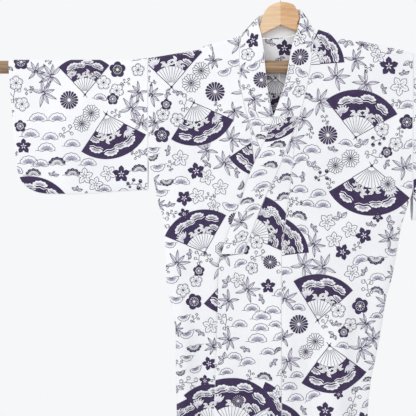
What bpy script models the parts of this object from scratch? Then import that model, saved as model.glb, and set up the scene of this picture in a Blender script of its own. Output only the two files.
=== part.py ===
"""Cotton kimono robe on a wooden hanger, with a wooden rod through its sleeves.

Metres, +Z up, the garment's front faces -Y, and left and right are the viewer's.
The origin is the inner top of the hanger's hook, where it hangs.
"""
import math

import bmesh
import bpy
from mathutils import Vector

# Cloth
WALL = 0.0012
BAND_WALL = 0.0024
SEAM = 0.0005
FOLD_GAP = 0.0005
OVERLAP_STEP = 0.0042
HEM = -1.540
WOOD_CLEARANCE = 0.0012

# Rod through the sleeves
ROD_RADIUS = 0.0162
ROD_HEIGHT = -0.2215
ROD_HALF_LENGTH = 0.745
ROD_SIDES = 24

# Hook
HOOK_RADIUS = 0.0200
WIRE_RADIUS = 0.0017
HOOK_SIDES = 8

# Hanger
HANGER_HALF = 0.0070
ARM_ROUND = 0.0060
END_ROUND = 0.0030
CROWN_ROUND = 0.0022
JOINT_X = 0.0012
ARM_END = 0.184

# Body
ARMHOLE = 0.3250
SLEEVE_END = 0.6676
SHOULDER_BASE = -0.245
SIDE_ROUND = 0.034
BODY_DEPTH = 0.0185
SLEEVE_DEPTH = 0.0178
SLEEVE_FLAT = 0.0065

# Height of the cloth's top line: across, height
CREST = (
    (-0.7000, -0.2037),
    (-0.4200, -0.2037),
    (-0.3687, -0.2031),
    (-0.3197, -0.1986),
    (-0.2634, -0.1895),
    (-0.2193, -0.1821),
    (-0.1930, -0.1765),
    (-0.1850, -0.1690),
    (-0.1164, -0.1505),
    (-0.0968, -0.1445),
    (0.0000, -0.1290),
    (0.0796, -0.1262),
    (0.1213, -0.1382),
    (0.1580, -0.1479),
    (0.1948, -0.1565),
    (0.2683, -0.1724),
    (0.3173, -0.1845),
    (0.3663, -0.1990),
    (0.4200, -0.2037),
    (0.7000, -0.2037),
)

# Radius of the cloth's turn over what carries it: distance from the middle, radius
TURN = (
    (0.000, 0.0135),
    (0.060, 0.0135),
    (0.110, 0.0108),
    (0.200, 0.0102),
    (0.330, 0.0178),
    (0.700, 0.0178),
)

# Half depth of the hollow body: height, front, back
DEPTH = (
    (-1.540, 0.0240, 0.0300),
    (-1.000, 0.0210, 0.0260),
    (-0.700, 0.0165, 0.0190),
    (-0.450, 0.0145, 0.0150),
    (-0.300, 0.0175, 0.0175),
    (-0.245, 0.0185, 0.0185),
)

# Side line of the body: height, left, right
SIDE = (
    (-1.540, -0.250, 0.206),
    (-1.079, -0.255, 0.216),
    (-0.995, -0.257, 0.224),
    (-0.942, -0.257, 0.235),
    (-0.868, -0.258, 0.250),
    (-0.795, -0.272, 0.261),
    (-0.757, -0.281, 0.272),
    (-0.684, -0.283, 0.287),
    (-0.611, -0.286, 0.299),
    (-0.589, -0.291, 0.305),
    (-0.556, -0.301, 0.316),
    (-0.520, -0.308, 0.325),
    (-0.490, -0.314, 0.325),
    (-0.447, -0.325, 0.325),
    (-0.100, -0.325, 0.325),
)

# Where the back's neck line meets the shoulder's fold, and how fast it drops behind
NECK = {"left": -0.0968, "right": 0.0821}
NECK_SPREAD = 1.6
NECK_FRONT_SHARE = 0.22
NECK_FRONT_DROP = 0.026
SHOULDER_BLEND = 0.26

# Where the side seam closes below each sleeve: open above, closed below
SIDE_CLOSED = {"left": (-0.490, -0.560), "right": (-0.560, -0.640)}

# Seam between the collar and the fronts: height, over side, under side
COLLAR_SEAM = (
    (-0.6818, -0.0919, 0.0576),
    (-0.5985, -0.0600, 0.0257),
    (-0.5422, -0.0380, 0.0037),
    (-0.4809, -0.0086, -0.0257),
    (-0.4172, 0.0174, -0.0517),
    (-0.3462, 0.0453, -0.0796),
    (-0.2678, 0.0649, -0.0980),
    (-0.2065, 0.0747, -0.1010),
    (-0.1698, 0.0796, -0.0992),
    (-0.1450, 0.0821, -0.0968),
    (-0.1000, 0.0821, -0.0968),
)

# Free edge of the collar on the chest: height, over side, under side
COLLAR_EDGE = (
    (-0.6818, -0.1458, 0.1115),
    (-0.5985, -0.1164, 0.0821),
    (-0.5422, -0.0936, 0.0593),
    (-0.4809, -0.0740, 0.0397),
    (-0.4172, -0.0441, 0.0098),
    (-0.3462, -0.0184, -0.0160),
    (-0.3045, -0.0030, -0.0265),
    (-0.2678, 0.0098, -0.0331),
    (-0.2065, 0.0216, -0.0390),
    (-0.1650, 0.0300, -0.0425),
)

# Free edge of the collar round the neck, from the over side to the under side:
# angle round the neck, across, depth, height
NECK_EDGE = (
    (0.00, 0.0400, -0.0125, -0.1380),
    (0.12, 0.0490, -0.0095, -0.1030),
    (0.22, 0.0505, 0.0000, -0.0790),
    (0.32, 0.0430, 0.0120, -0.0765),
    (0.50, 0.0000, 0.0200, -0.0825),
    (0.68, -0.0470, 0.0120, -0.0910),
    (0.78, -0.0560, 0.0000, -0.1010),
    (0.88, -0.0530, -0.0090, -0.1200),
    (1.00, -0.0470, -0.0125, -0.1430),
)

# Seam between the fronts and their overlap panels: height, over side, under side
OVERLAP_SEAM = (
    (-1.540, 0.0012, -0.0355),
    (-0.684, 0.0025, -0.0368),
    (-0.647, 0.0061, -0.0404),
    (-0.513, 0.0233, -0.0576),
    (-0.427, 0.0331, -0.0674),
    (-0.352, 0.0432, -0.0775),
)
OVERLAP_TIP = -0.352
COLLAR_END = -0.6818

# Height where the band's cover ends on the chest
COVER_END = {"over": -0.3450, "under": -0.3470}
COVER_ARCH_LOW = 0.034

# Free edge of the overlap panels: height, over side, under side
OVERLAP_EDGE = (
    (-1.540, -0.1660, 0.1317),
    (-1.079, -0.1630, 0.1287),
    (-0.900, -0.1560, 0.1217),
    (-0.706, -0.1507, 0.1164),
    (-0.682, -0.1458, 0.1115),
)

# Soft upright folds: across at the hem, lean, half width, depth outwards, height of the top
FRONT_FOLDS = (
    (-0.225, 0.020, 0.060, 0.010, -0.52),
    (-0.178, 0.016, 0.052, -0.009, -0.62),
    (-0.118, 0.000, 0.066, 0.008, -0.70),
    (-0.058, 0.000, 0.060, -0.006, -0.76),
    (0.002, 0.004, 0.060, 0.006, -0.72),
    (0.054, 0.020, 0.055, -0.009, -0.64),
    (0.108, 0.034, 0.056, 0.011, -0.58),
    (0.154, 0.052, 0.050, -0.010, -0.52),
)
BACK_FOLDS = (
    (-0.205, 0.020, 0.055, 0.013, -0.46),
    (-0.152, 0.012, 0.055, -0.012, -0.58),
    (-0.094, 0.006, 0.060, 0.014, -0.50),
    (-0.038, 0.000, 0.055, -0.012, -0.62),
    (0.016, 0.000, 0.056, 0.012, -0.54),
    (0.070, 0.010, 0.058, -0.013, -0.60),
    (0.124, 0.024, 0.056, 0.014, -0.48),
    (0.170, 0.040, 0.046, -0.011, -0.56),
)

# Bottom line of a sleeve, from the armhole out: across, left height, right height
SLEEVE_BOTTOM = (
    (0.3250, -0.5250, -0.6000),
    (0.4000, -0.5290, -0.5880),
    (0.4700, -0.5340, -0.5720),
    (0.5300, -0.5356, -0.5600),
    (0.5750, -0.5350, -0.5520),
    (0.6000, -0.5310, -0.5450),
    (0.6220, -0.5200, -0.5310),
    (0.6390, -0.5005, -0.5080),
    (0.6480, -0.4700, -0.4720),
    (0.6529, -0.4270, -0.4270),
)
CUFF_LOW = 0.6529

# Rows of the body's grid
BODY_LOW_ROWS = (-1.54, -1.47, -1.40, -1.33, -1.26, -1.19, -1.12, -1.05, -0.98, -0.91, -0.845,
                 -0.785, -0.73, -0.682, -0.64, -0.60, -0.56, -0.52, -0.48, -0.44, -0.395, -0.352,
                 -0.31, -0.275)
ARCH_SHARES = (1.0, 0.66, 0.33, 0.07)
ARCH_ANGLES = (85.0, 58.0, 29.0)
BODY_COLUMNS = 11
SIDE_ANGLES = (0.0, 32.0, 62.0, 90.0)

CLOTH_COLOUR = (0.90, 0.91, 0.93, 1.0)
WOOD_COLOUR = (0.80, 0.60, 0.40, 1.0)
ROD_COLOUR = (0.34, 0.23, 0.15, 1.0)
METAL_COLOUR = (0.62, 0.62, 0.63, 1.0)


OUTWARDS = {"left": -1.0, "right": 1.0}


def clear_scene():
    for item in list(bpy.data.objects):
        bpy.data.objects.remove(item, do_unlink=True)


def make_material(name, colour, roughness, metallic=0.0):
    material = bpy.data.materials.new(name)
    material.use_nodes = True
    shader = material.node_tree.nodes["Principled BSDF"]
    shader.inputs["Base Color"].default_value = colour
    shader.inputs["Roughness"].default_value = roughness
    shader.inputs["Metallic"].default_value = metallic
    return material


def ease(start, end, value):
    """Smooth step from 0 at start to 1 at end."""
    share = min(1.0, max(0.0, (value - start) / (end - start)))
    return share * share * (3.0 - 2.0 * share)


def follow(rows, at, column=1):
    """Read one column of a table as a smooth curve of its first column."""
    if at <= rows[0][0]:
        return rows[0][column]
    if at >= rows[-1][0]:
        return rows[-1][column]
    index = 0
    while rows[index + 1][0] < at:
        index += 1
    low, high = rows[index], rows[index + 1]
    span = high[0] - low[0]
    rise = (high[column] - low[column]) / span
    before = rows[index - 1] if index > 0 else low
    after = rows[index + 2] if index + 2 < len(rows) else high
    slope_low = (high[column] - before[column]) / (high[0] - before[0])
    slope_high = (after[column] - low[column]) / (after[0] - low[0])
    limit = 2.5 * abs(rise)
    slope_low = math.copysign(min(abs(slope_low), limit), rise) if slope_low * rise > 0 else 0.0
    slope_high = math.copysign(min(abs(slope_high), limit), rise) if slope_high * rise > 0 else 0.0
    t = (at - low[0]) / span
    return ((2 * t**3 - 3 * t**2 + 1) * low[column] + (t**3 - 2 * t**2 + t) * span * slope_low
            + (3 * t**2 - 2 * t**3) * high[column] + (t**3 - t**2) * span * slope_high)


def folds(table, x, z):
    """Sum of the soft upright folds at a place, outwards."""
    total = 0.0
    for at_hem, lean, half_width, depth, top in table:
        centre = at_hem * (1.0 + 0.12 * (z - HEM)) + lean * math.copysign(1.0, at_hem) * (z - HEM)
        share = abs(x - centre) / half_width
        if share < 1.0:
            total += depth * math.cos(share * math.pi / 2) ** 2 * ease(top, top - 0.45, z)
    return total


def arch_depth(x, z):
    """Half depth of the cloth above the shoulder base, over hanger or rod."""
    radius = follow(TURN, abs(x))
    drop = max(0.0, follow(CREST, x) - z)
    if drop < radius:
        return math.sqrt(max(0.0, 2.0 * radius * drop - drop * drop))
    low = max(radius + 0.0002, follow(CREST, x) - ROD_HEIGHT)
    base = BODY_DEPTH + (SLEEVE_DEPTH - BODY_DEPTH) * ease(SHOULDER_BLEND, ARMHOLE, abs(x))
    return radius + (base - radius) * ease(radius, low, drop)


def half_depth(x, z, face):
    """Distance of the cloth's middle surface from the plane of the hanger."""
    if z >= SHOULDER_BASE:
        return arch_depth(x, z)
    column, table = (1, FRONT_FOLDS) if face == "front" else (2, BACK_FOLDS)
    base = follow(DEPTH, z, column)
    near_sleeve = ease(SHOULDER_BLEND, ARMHOLE, abs(x)) * ease(-0.35, SHOULDER_BASE, z)
    base -= (BODY_DEPTH - SLEEVE_DEPTH) * near_sleeve
    return base + folds(table, x, z)


def over_step(x, z):
    """How far the over front stands in front of the under front."""
    edge = follow(COLLAR_EDGE, z, 2) if z > COLLAR_END else follow(OVERLAP_EDGE, z, 2)
    return OVERLAP_STEP * ease(-0.285, -0.335, z) * (1.0 - ease(edge + 0.008, edge + 0.065, x))


def front_point(x, z, layer, out=0.0):
    step = over_step(x, z) if layer == "over" else 0.0
    return Vector((x, -half_depth(x, z, "front") - step - out, z))


def back_point(x, z):
    return Vector((x, half_depth(x, z, "back"), z))


def grid_normals(grid, closed):
    """Unit normals of a grid of points, by differences between neighbours."""
    rows, columns = len(grid), len(grid[0])
    normals = []
    for i in range(rows):
        line = []
        for j in range(columns):
            along = grid[min(i + 1, rows - 1)][j] - grid[max(i - 1, 0)][j]
            if closed:
                across = grid[i][(j + 1) % columns] - grid[i][(j - 1) % columns]
            else:
                across = grid[i][min(j + 1, columns - 1)] - grid[i][max(j - 1, 0)]
            line.append(along.cross(across).normalized())
        normals.append(line)
    return normals


def make_wall(name, grid, thickness, material, closed=False):
    """Closed solid of one thickness on both sides of a grid of points."""
    rows, columns = len(grid), len(grid[0])
    normals = grid_normals(grid, closed)
    mesh = bmesh.new()
    sides = []
    for offset in (thickness / 2, -thickness / 2):
        sides.append([[mesh.verts.new(grid[i][j] + normals[i][j] * offset) for j in range(columns)]
                      for i in range(rows)])
    outer, inner = sides
    spans = columns if closed else columns - 1
    for i in range(rows - 1):
        for j in range(spans):
            k = (j + 1) % columns
            mesh.faces.new((outer[i][j], outer[i + 1][j], outer[i + 1][k], outer[i][k]))
            mesh.faces.new((inner[i][j], inner[i][k], inner[i + 1][k], inner[i + 1][j]))
    for i in (0, rows - 1):
        for j in range(spans):
            k = (j + 1) % columns
            mesh.faces.new((outer[i][j], outer[i][k], inner[i][k], inner[i][j]))
    if not closed:
        for j in (0, columns - 1):
            for i in range(rows - 1):
                mesh.faces.new((outer[i][j], outer[i + 1][j], inner[i + 1][j], inner[i][j]))
    return finish_mesh(name, mesh, material)


def finish_mesh(name, mesh, material):
    """Turn a bmesh into a named, smooth shaded object with its material."""
    bmesh.ops.triangulate(mesh, faces=mesh.faces[:], quad_method="BEAUTY")
    bmesh.ops.recalc_face_normals(mesh, faces=mesh.faces[:])
    data = bpy.data.meshes.new(name)
    mesh.to_mesh(data)
    mesh.free()
    data.shade_smooth()
    data.set_sharp_from_angle(angle=math.radians(40))
    data.materials.append(material)
    item = bpy.data.objects.new(name, data)
    bpy.context.scene.collection.objects.link(item)
    return item


def side_column(side):
    return 1 if side == "left" else 2


def layer_of(side):
    return "over" if side == "right" else "under"


def layer_column(layer):
    return 1 if layer == "over" else 2


def front_inner(side, z):
    """Inner edge of a front: the collar's seam, then the overlap panel's seam."""
    column = layer_column(layer_of(side))
    outwards = OUTWARDS[side]
    table = COLLAR_SEAM if z > OVERLAP_TIP else OVERLAP_SEAM
    return follow(table, z, column) + outwards * SEAM / 2


def closing(side, z):
    """0 where the side is open, 1 where the side seam closes it."""
    start, end = SIDE_CLOSED[side]
    return ease(start, end, z)


def panel_row(side, face, z, inner):
    """One row of a body panel below the shoulder, from its inner edge to its side."""
    outer = follow(SIDE, z, side_column(side))
    outwards = math.copysign(1.0, outer)
    shut = closing(side, z)
    flat_end = outer - outwards * SIDE_ROUND
    row = []
    for step in range(BODY_COLUMNS):
        x = inner + (flat_end - inner) * step / (BODY_COLUMNS - 1)
        row.append(place(side, face, x, z))
    for angle in SIDE_ANGLES[1:]:
        turn = math.radians(angle)
        even = angle / 90.0
        x = flat_end + outwards * SIDE_ROUND * (even + (math.sin(turn) - even) * shut)
        point = place(side, face, x, z)
        keep = 1.0 - shut * (1.0 - math.cos(turn))
        y = point.y * keep
        point.y = y + math.copysign(SEAM, point.y) * shut * (1.0 - keep)
        row.append(point)
    return row


def place(side, face, x, z):
    if face == "front":
        return front_point(x, z, layer_of(side))
    return back_point(x, z)


def arch_row(side, face, inner, drop_of):
    """One row of a body panel over the shoulder, at a drop below the top line."""
    outwards = OUTWARDS[side]
    outer = outwards * ARMHOLE
    flat_end = outer - outwards * SIDE_ROUND
    places = [inner + (flat_end - inner) * step / (BODY_COLUMNS - 1) for step in range(BODY_COLUMNS)]
    places += [flat_end + outwards * SIDE_ROUND * angle / 90.0 for angle in SIDE_ANGLES[1:]]
    sign = -1.0 if face == "front" else 1.0
    row = []
    for x in places:
        z = follow(CREST, x) - drop_of(x)
        row.append(Vector((x, sign * arch_depth(x, z), z)))
    return row


def arch_drops():
    """Drops below the top line, from the shoulder base up to the top."""
    drops = []
    for share in ARCH_SHARES:
        def drop(x, share=share):
            radius = follow(TURN, abs(x))
            return radius + (follow(CREST, x) - SHOULDER_BASE - radius) * share
        drops.append(drop)
    for angle in ARCH_ANGLES:
        def drop(x, angle=angle):
            return follow(TURN, abs(x)) * (1.0 - math.cos(math.radians(angle)))
        drops.append(drop)
    return drops


def neck_inner(side, index):
    """Inner edge of the back on one of the rows over the shoulder."""
    neck = NECK[side]
    outwards = OUTWARDS[side]
    if index < len(ARCH_SHARES):
        return outwards * SEAM / 2
    share = ARCH_ANGLES[index - len(ARCH_SHARES)] / ARCH_ANGLES[0] / NECK_SPREAD
    return neck * math.cos(share * math.pi / 2)


def crest_row(side, face):
    """Row of a body panel along the shoulder's fold, just off its other half."""
    outwards = OUTWARDS[side]
    neck = NECK[side]
    row = arch_row(side, face, neck + outwards * SEAM / 2, lambda x: 0.0)
    for point in row:
        point.y = -FOLD_GAP if face == "front" else FOLD_GAP
    return row


def make_front(side, material):
    """Front half of one length of cloth, from the hem up to the fold on the shoulder."""
    drops = arch_drops()
    grid = []
    for z in BODY_LOW_ROWS:
        grid.append(panel_row(side, "front", z, front_inner(side, z)))
    column = layer_column(layer_of(side))
    outwards = OUTWARDS[side]
    neck = NECK[side]
    for drop in drops:
        height = follow(CREST, neck) - drop(neck)
        inner = follow(COLLAR_SEAM, height, column) + outwards * SEAM / 2
        grid.append(arch_row(side, "front", inner, drop))
    grid.append(crest_row(side, "front"))
    return make_wall("front_" + side, grid, WALL, material)


def make_back(side, material):
    """Back half of the same length, from the fold on the shoulder down to the hem."""
    drops = arch_drops()
    outwards = OUTWARDS[side]
    grid = [crest_row(side, "back")]
    for index in reversed(range(len(drops))):
        grid.append(arch_row(side, "back", neck_inner(side, index), drops[index]))
    for z in reversed(BODY_LOW_ROWS):
        grid.append(panel_row(side, "back", z, outwards * SEAM / 2))
    return make_wall("back_" + side, grid, WALL, material)


def make_overlap(layer, material):
    """Narrow panel between a front's seam and its free edge, cut to a point under the collar."""
    column = layer_column(layer)
    towards_seam = 1.0 if layer == "over" else -1.0
    grid = []
    for z in BODY_LOW_ROWS:
        seam = follow(OVERLAP_SEAM, z, column) - towards_seam * SEAM / 2
        if z < COLLAR_END - 0.0009:
            edge = follow(OVERLAP_EDGE, z, column)
        elif z < COLLAR_END + 0.001:
            for height, table in ((COLLAR_END - 0.0016, OVERLAP_EDGE), (COLLAR_END - 0.0004, COLLAR_SEAM)):
                edge = follow(table, height, column) + towards_seam * (SEAM if table is COLLAR_SEAM else 0.0)
                grid.append([front_point(edge + (seam - edge) * step / 7, height, layer)
                             for step in range(8)])
            continue
        elif z < OVERLAP_TIP - 0.02:
            edge = follow(COLLAR_SEAM, z, column) + towards_seam * SEAM / 2
        else:
            break
        grid.append([front_point(edge + (seam - edge) * step / 7, z, layer) for step in range(8)])
    return make_wall("overlap_" + layer, grid, WALL, material)


def collar_row(seam, edge, layer):
    """Band across the chest, flat on the front between its seam and its free edge."""
    points = []
    for step in range(5):
        share = step / 4
        x = seam[0] + (edge[0] - seam[0]) * share
        z = seam[1] + (edge[1] - seam[1]) * share
        points.append(front_point(x, z, layer, (BAND_WALL - WALL) / 2))
    return points


def chest_row(z, layer):
    column = layer_column(layer)
    inwards = -1.0 if layer == "over" else 1.0
    seam = follow(COLLAR_SEAM, z, column) + inwards * SEAM / 2
    return collar_row((seam, z), (follow(COLLAR_EDGE, z, column), z), layer)


def make_collar_end(layer, material):
    """Lower stretch of the band, from under the cover to the band's end."""
    top = COVER_END[layer] - SEAM
    heights = [COLLAR_END] + [z for z in BODY_LOW_ROWS if COLLAR_END + 0.01 < z < top - 0.004] + [top]
    return make_wall("collar_" + layer, [chest_row(z, layer) for z in heights], BAND_WALL, material)


def neck_seam(turn):
    """Seam line round the neck: 0 at the front of the over side, 0.5 at the middle of the back."""
    side = "right" if turn <= 0.5 else "left"
    neck = NECK[side]
    away = min(turn, 1.0 - turn)
    if away <= NECK_FRONT_SHARE:
        column = layer_column(layer_of(side))
        top = follow(CREST, neck)
        height = top - (1.0 - away / NECK_FRONT_SHARE) * NECK_FRONT_DROP
        x = follow(COLLAR_SEAM, height, column)
        return Vector((x, -arch_depth(x, height), height))
    share = (away - NECK_FRONT_SHARE) / (0.5 - NECK_FRONT_SHARE)
    x = neck * math.cos(share * math.pi / 2)
    radius = follow(TURN, abs(x))
    over = share * NECK_SPREAD
    drop = radius * (1.0 - math.cos(math.radians(ARCH_ANGLES[0] * min(1.0, over))))
    if over > 1.0:
        corner = abs(math.cos(math.pi / 2 / NECK_SPREAD) * neck)
        lowest = radius + (follow(CREST, x) - SHOULDER_BASE - radius) * ARCH_SHARES[-1]
        drop += (lowest - drop) * (1.0 - abs(x) / corner)
    height = follow(CREST, x) - drop
    return Vector((x, arch_depth(x, height), height))


def neck_row(turn):
    """Band at the neck, standing from its seam up to its free edge."""
    seam = neck_seam(turn)
    edge = Vector([follow(NECK_EDGE, turn, column) for column in (1, 2, 3)])
    start = seam + (edge - seam).normalized() * SEAM * (1.0 + 3.0 * math.sin(turn * math.pi))
    return [start + (edge - start) * step / 4 for step in range(5)]


def cover_heights(layer):
    """Heights of the cover's rows on the chest, level with those of the front beside it."""
    heights = [COVER_END[layer]] + [z for z in BODY_LOW_ROWS if z > COVER_END[layer] + 0.01]
    neck = NECK["right" if layer == "over" else "left"]
    arch = [follow(CREST, neck) - drop(neck) for drop in arch_drops()]
    return heights + [z for z in arch if z < follow(CREST, neck) - COVER_ARCH_LOW]


def make_cover(material):
    """Cover of the band: down both sides of the chest and round the neck."""
    grid = [chest_row(z, "over") for z in cover_heights("over")]
    for step in range(21):
        grid.append(neck_row(step / 20))
    grid += [chest_row(z, "under") for z in reversed(cover_heights("under"))]
    return make_wall("collar_cover", grid, BAND_WALL, material)


def sleeve_ring(side, across):
    """Section of a sleeve at one distance out: up the front, over the top, down the back."""
    sign = OUTWARDS[side]
    share = (across - ARMHOLE) / (CUFF_LOW - ARMHOLE)
    top_x = sign * (ARMHOLE + SEAM + (SLEEVE_END - ARMHOLE - SEAM) * share)
    low_x = sign * (across + SEAM * (1.0 - share))
    crest = follow(CREST, top_x)
    radius = follow(TURN, abs(top_x))
    bottom = follow(SLEEVE_BOTTOM, across, side_column(side))
    half = []
    for angle in ARCH_ANGLES[::-1]:
        half.append((crest - radius * (1.0 - math.cos(math.radians(angle))), None))
    curve_top = bottom + 0.09 * (crest - bottom)
    for step in range(7):
        half.append((crest - radius + (curve_top - crest + radius) * step / 6, None))
    for angle in (35.0, 65.0):
        turn = math.radians(angle)
        half.append((curve_top + (bottom - curve_top) * math.sin(turn), math.cos(turn)))
    front, back = [], []
    for z, closing_share in half:
        depth = sleeve_half_depth(side, abs(top_x), share, z, curve_top)
        if closing_share is not None:
            depth *= closing_share
        x = top_x + (low_x - top_x) * (crest - z) / (crest - bottom)
        front.append(Vector((x, -depth, z)))
        back.append(Vector((x, depth, z)))
    return front[::-1] + [Vector((top_x, 0.0, crest))] + back + [Vector((low_x, 0.0, bottom))]


def sleeve_half_depth(side, across, share, z, curve_top):
    """Half depth of a sleeve: the body's at the armhole, flatter towards the bottom and the cuff."""
    sign = OUTWARDS[side]
    near = half_depth(sign * across, z, "front")
    if z >= SHOULDER_BASE:
        return near
    down = (SHOULDER_BASE - z) / (SHOULDER_BASE - curve_top)
    flat = SLEEVE_DEPTH + (SLEEVE_FLAT - SLEEVE_DEPTH) * min(1.0, down)
    wave = 0.0022 * math.sin(across * 46.0 + z * 9.0) * ease(0.0, 0.35, down)
    return near + (flat + wave - near) * ease(0.0, 0.30, share)


def make_sleeve(side, material):
    """Tube of cloth over the rod, open at the cuff and at the armhole, with a round lower corner."""
    stations = [row[0] for row in SLEEVE_BOTTOM]
    fine = []
    for first, second in zip(stations, stations[1:]):
        fine.append(first)
        if second - first > 0.04:
            fine.append((first + second) / 2)
    fine.append(stations[-1])
    grid = [sleeve_ring(side, across) for across in fine]
    return make_wall("sleeve_" + side, grid, WALL, material, closed=True)


def arm_top(x):
    """Top line of a hanger's arm, just under the cloth that it carries."""
    under_band = 0.0014 * (1.0 - ease(0.100, 0.120, abs(x)))
    return follow(CREST, x) - WOOD_CLEARANCE - under_band


def hanger_outline(side):
    """Outline of half the hanger, from the joint's top out along the arm and back, with roundings."""
    gap = SEAM / 2
    if side == "left":
        crown = ((JOINT_X - gap, -0.0615), (-0.0080, -0.0630), (-0.0180, -0.0668), (-0.0294, -0.0742),
                 (-0.0375, -0.0845), (-0.0425, -0.0960), (-0.0455, -0.1080))
        arm = [(-0.0540, -0.1260), (-0.0700, -0.1375)]
        corner = (-0.0441, -0.1404)
        apex = (JOINT_X - gap, -0.1171)
        sign = -1.0
    else:
        crown = ((JOINT_X + gap, -0.0615), (0.0135, -0.0620), (0.0245, -0.0648), (0.0355, -0.0698),
                 (0.0428, -0.0852), (0.0478, -0.1007), (0.0429, -0.1159))
        arm = [(0.0540, -0.1235), (0.0720, -0.1300)]
        corner = (0.0412, -0.1326)
        apex = (JOINT_X + gap, -0.1171)
        sign = 1.0
    points = [(x, z, CROWN_ROUND) for x, z in crown]
    points += [(x, z, ARM_ROUND * 0.7) for x, z in arm]
    for step in range(6):
        x = sign * (0.100 + (ARM_END - 0.012 - 0.100) * step / 5)
        points.append((x, arm_top(x), ARM_ROUND))
    end_top = arm_top(sign * (ARM_END - 0.012))
    points.append((sign * (ARM_END - 0.003), end_top - 0.006, END_ROUND))
    points.append((sign * ARM_END, end_top - 0.012, END_ROUND))
    points.append((sign * (ARM_END - 0.003), end_top - 0.018, END_ROUND))
    points.append((sign * (ARM_END - 0.014), end_top - 0.022, END_ROUND))
    low = end_top - 0.022
    for share in (0.35, 0.70):
        x = sign * (ARM_END - 0.014) + (corner[0] - sign * (ARM_END - 0.014)) * share
        points.append((x, low + (corner[1] - low) * share - 0.004 * share, ARM_ROUND * 0.8))
    points.append((corner[0], corner[1], CROWN_ROUND))
    points.append((apex[0], apex[1], CROWN_ROUND))
    return points


def inset_outline(points, amount):
    """Outline moved inwards at each point by a share of its own rounding."""
    count = len(points)
    area = sum(points[i][0] * points[(i + 1) % count][1] - points[(i + 1) % count][0] * points[i][1]
               for i in range(count))
    turn = 1.0 if area > 0 else -1.0
    moved = []
    for i, (x, z, rounding) in enumerate(points):
        before = Vector((x - points[i - 1][0], z - points[i - 1][1])).normalized()
        after = Vector((points[(i + 1) % count][0] - x, points[(i + 1) % count][1] - z)).normalized()
        inwards = Vector((-(before.y + after.y), before.x + after.x)).normalized() * turn
        widen = 1.0 / max(0.5, math.sqrt((1.0 + before.dot(after)) / 2.0))
        reach = rounding * amount * widen
        moved.append((x + inwards.x * reach, z + inwards.y * reach))
    return moved


def make_hanger_half(side, material):
    """One mitred half of the hanger, cut from board, its edges rounded."""
    points = hanger_outline(side)
    mesh = bmesh.new()
    loops = []
    for sign, angles in ((-1.0, (90, 60, 30, 0)), (1.0, (0, 30, 60, 90))):
        for angle in angles:
            turn = math.radians(angle)
            outline = inset_outline(points, 1.0 - math.cos(turn))
            loop = []
            for (x, z), (_, _, rounding) in zip(outline, points):
                y = sign * (HANGER_HALF - rounding * (1.0 - math.sin(turn)))
                loop.append(mesh.verts.new((x, y, z)))
            loops.append(loop)
    count = len(points)
    for first, second in zip(loops, loops[1:]):
        for i in range(count):
            k = (i + 1) % count
            mesh.faces.new((first[i], first[k], second[k], second[i]))
    mesh.faces.new(loops[0])
    mesh.faces.new(loops[-1])
    return finish_mesh("hanger_" + side, mesh, material)


def hook_path():
    """Centre line of the hook's wire, from inside the crown to the tip."""
    radius = HOOK_RADIUS + WIRE_RADIUS
    centre = Vector((0.0, 0.0, -HOOK_RADIUS))
    path = [Vector((JOINT_X, 0.0, -0.0608 + 0.003 * step)) for step in range(3)]
    path.append(Vector((0.0022, 0.0, -0.0500)))
    path.append(Vector((0.0058, 0.0, -0.0448)))
    for step in range(27):
        angle = math.radians(-56.0 + 246.0 * step / 26)
        path.append(centre + Vector((math.cos(angle), 0.0, math.sin(angle))) * radius)
    path.append(path[-1] + Vector((-0.0012, 0.0, -0.0040)))
    return path


def make_hook(material):
    """Metal hook: round wire swept along its centre line."""
    path = hook_path()
    mesh = bmesh.new()
    rings = []
    for i, point in enumerate(path):
        along = (path[min(i + 1, len(path) - 1)] - path[max(i - 1, 0)]).normalized()
        sideways = Vector((0.0, 1.0, 0.0))
        upwards = along.cross(sideways).normalized()
        ring = []
        for step in range(HOOK_SIDES):
            angle = 2.0 * math.pi * step / HOOK_SIDES
            offset = (sideways * math.cos(angle) + upwards * math.sin(angle)) * WIRE_RADIUS
            ring.append(mesh.verts.new(point + offset))
        rings.append(ring)
    for first, second in zip(rings, rings[1:]):
        for i in range(HOOK_SIDES):
            k = (i + 1) % HOOK_SIDES
            mesh.faces.new((first[i], first[k], second[k], second[i]))
    mesh.faces.new(rings[0])
    mesh.faces.new(rings[-1])
    return finish_mesh("hook", mesh, material)


def make_rod(material):
    """Round wooden rod through both sleeves."""
    mesh = bmesh.new()
    bmesh.ops.create_cone(mesh, cap_ends=True, segments=ROD_SIDES, radius1=ROD_RADIUS,
                          radius2=ROD_RADIUS, depth=2.0 * ROD_HALF_LENGTH)
    for vertex in mesh.verts:
        along = vertex.co.z
        vertex.co = Vector((along, vertex.co.x, vertex.co.y + ROD_HEIGHT))
    return finish_mesh("rod", mesh, material)


def main():
    clear_scene()
    cloth = make_material("printed_cotton", CLOTH_COLOUR, 0.85)
    wood = make_material("pale_wood", WOOD_COLOUR, 0.45)
    old_wood = make_material("weathered_wood", ROD_COLOUR, 0.80)
    metal = make_material("hook_metal", METAL_COLOUR, 0.30, 1.0)
    for side in ("left", "right"):
        make_front(side, cloth)
        make_back(side, cloth)
        make_sleeve(side, cloth)
        make_hanger_half(side, wood)
    for layer in ("over", "under"):
        make_overlap(layer, cloth)
        make_collar_end(layer, cloth)
    make_cover(cloth)
    make_hook(metal)
    make_rod(old_wood)


main()
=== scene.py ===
# %% [markdown]
# # A cotton kimono robe, hung up
#
# The robe hangs from a wooden hanger, and a wooden rod spreads its sleeves. Every piece of cloth is
# a thin shell on a smooth surface, and the print is drawn on the same surfaces as flat shapes.
# Metres, +Z up, the front faces -Y, and the origin is the inner top of the hanger's hook.
#
# The part is loaded first, since each piece made here takes the place of one of its plain solids.

import bisect
import math
import random

import bmesh
import bpy
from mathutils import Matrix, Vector
from mathutils.geometry import tessellate_polygon


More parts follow.
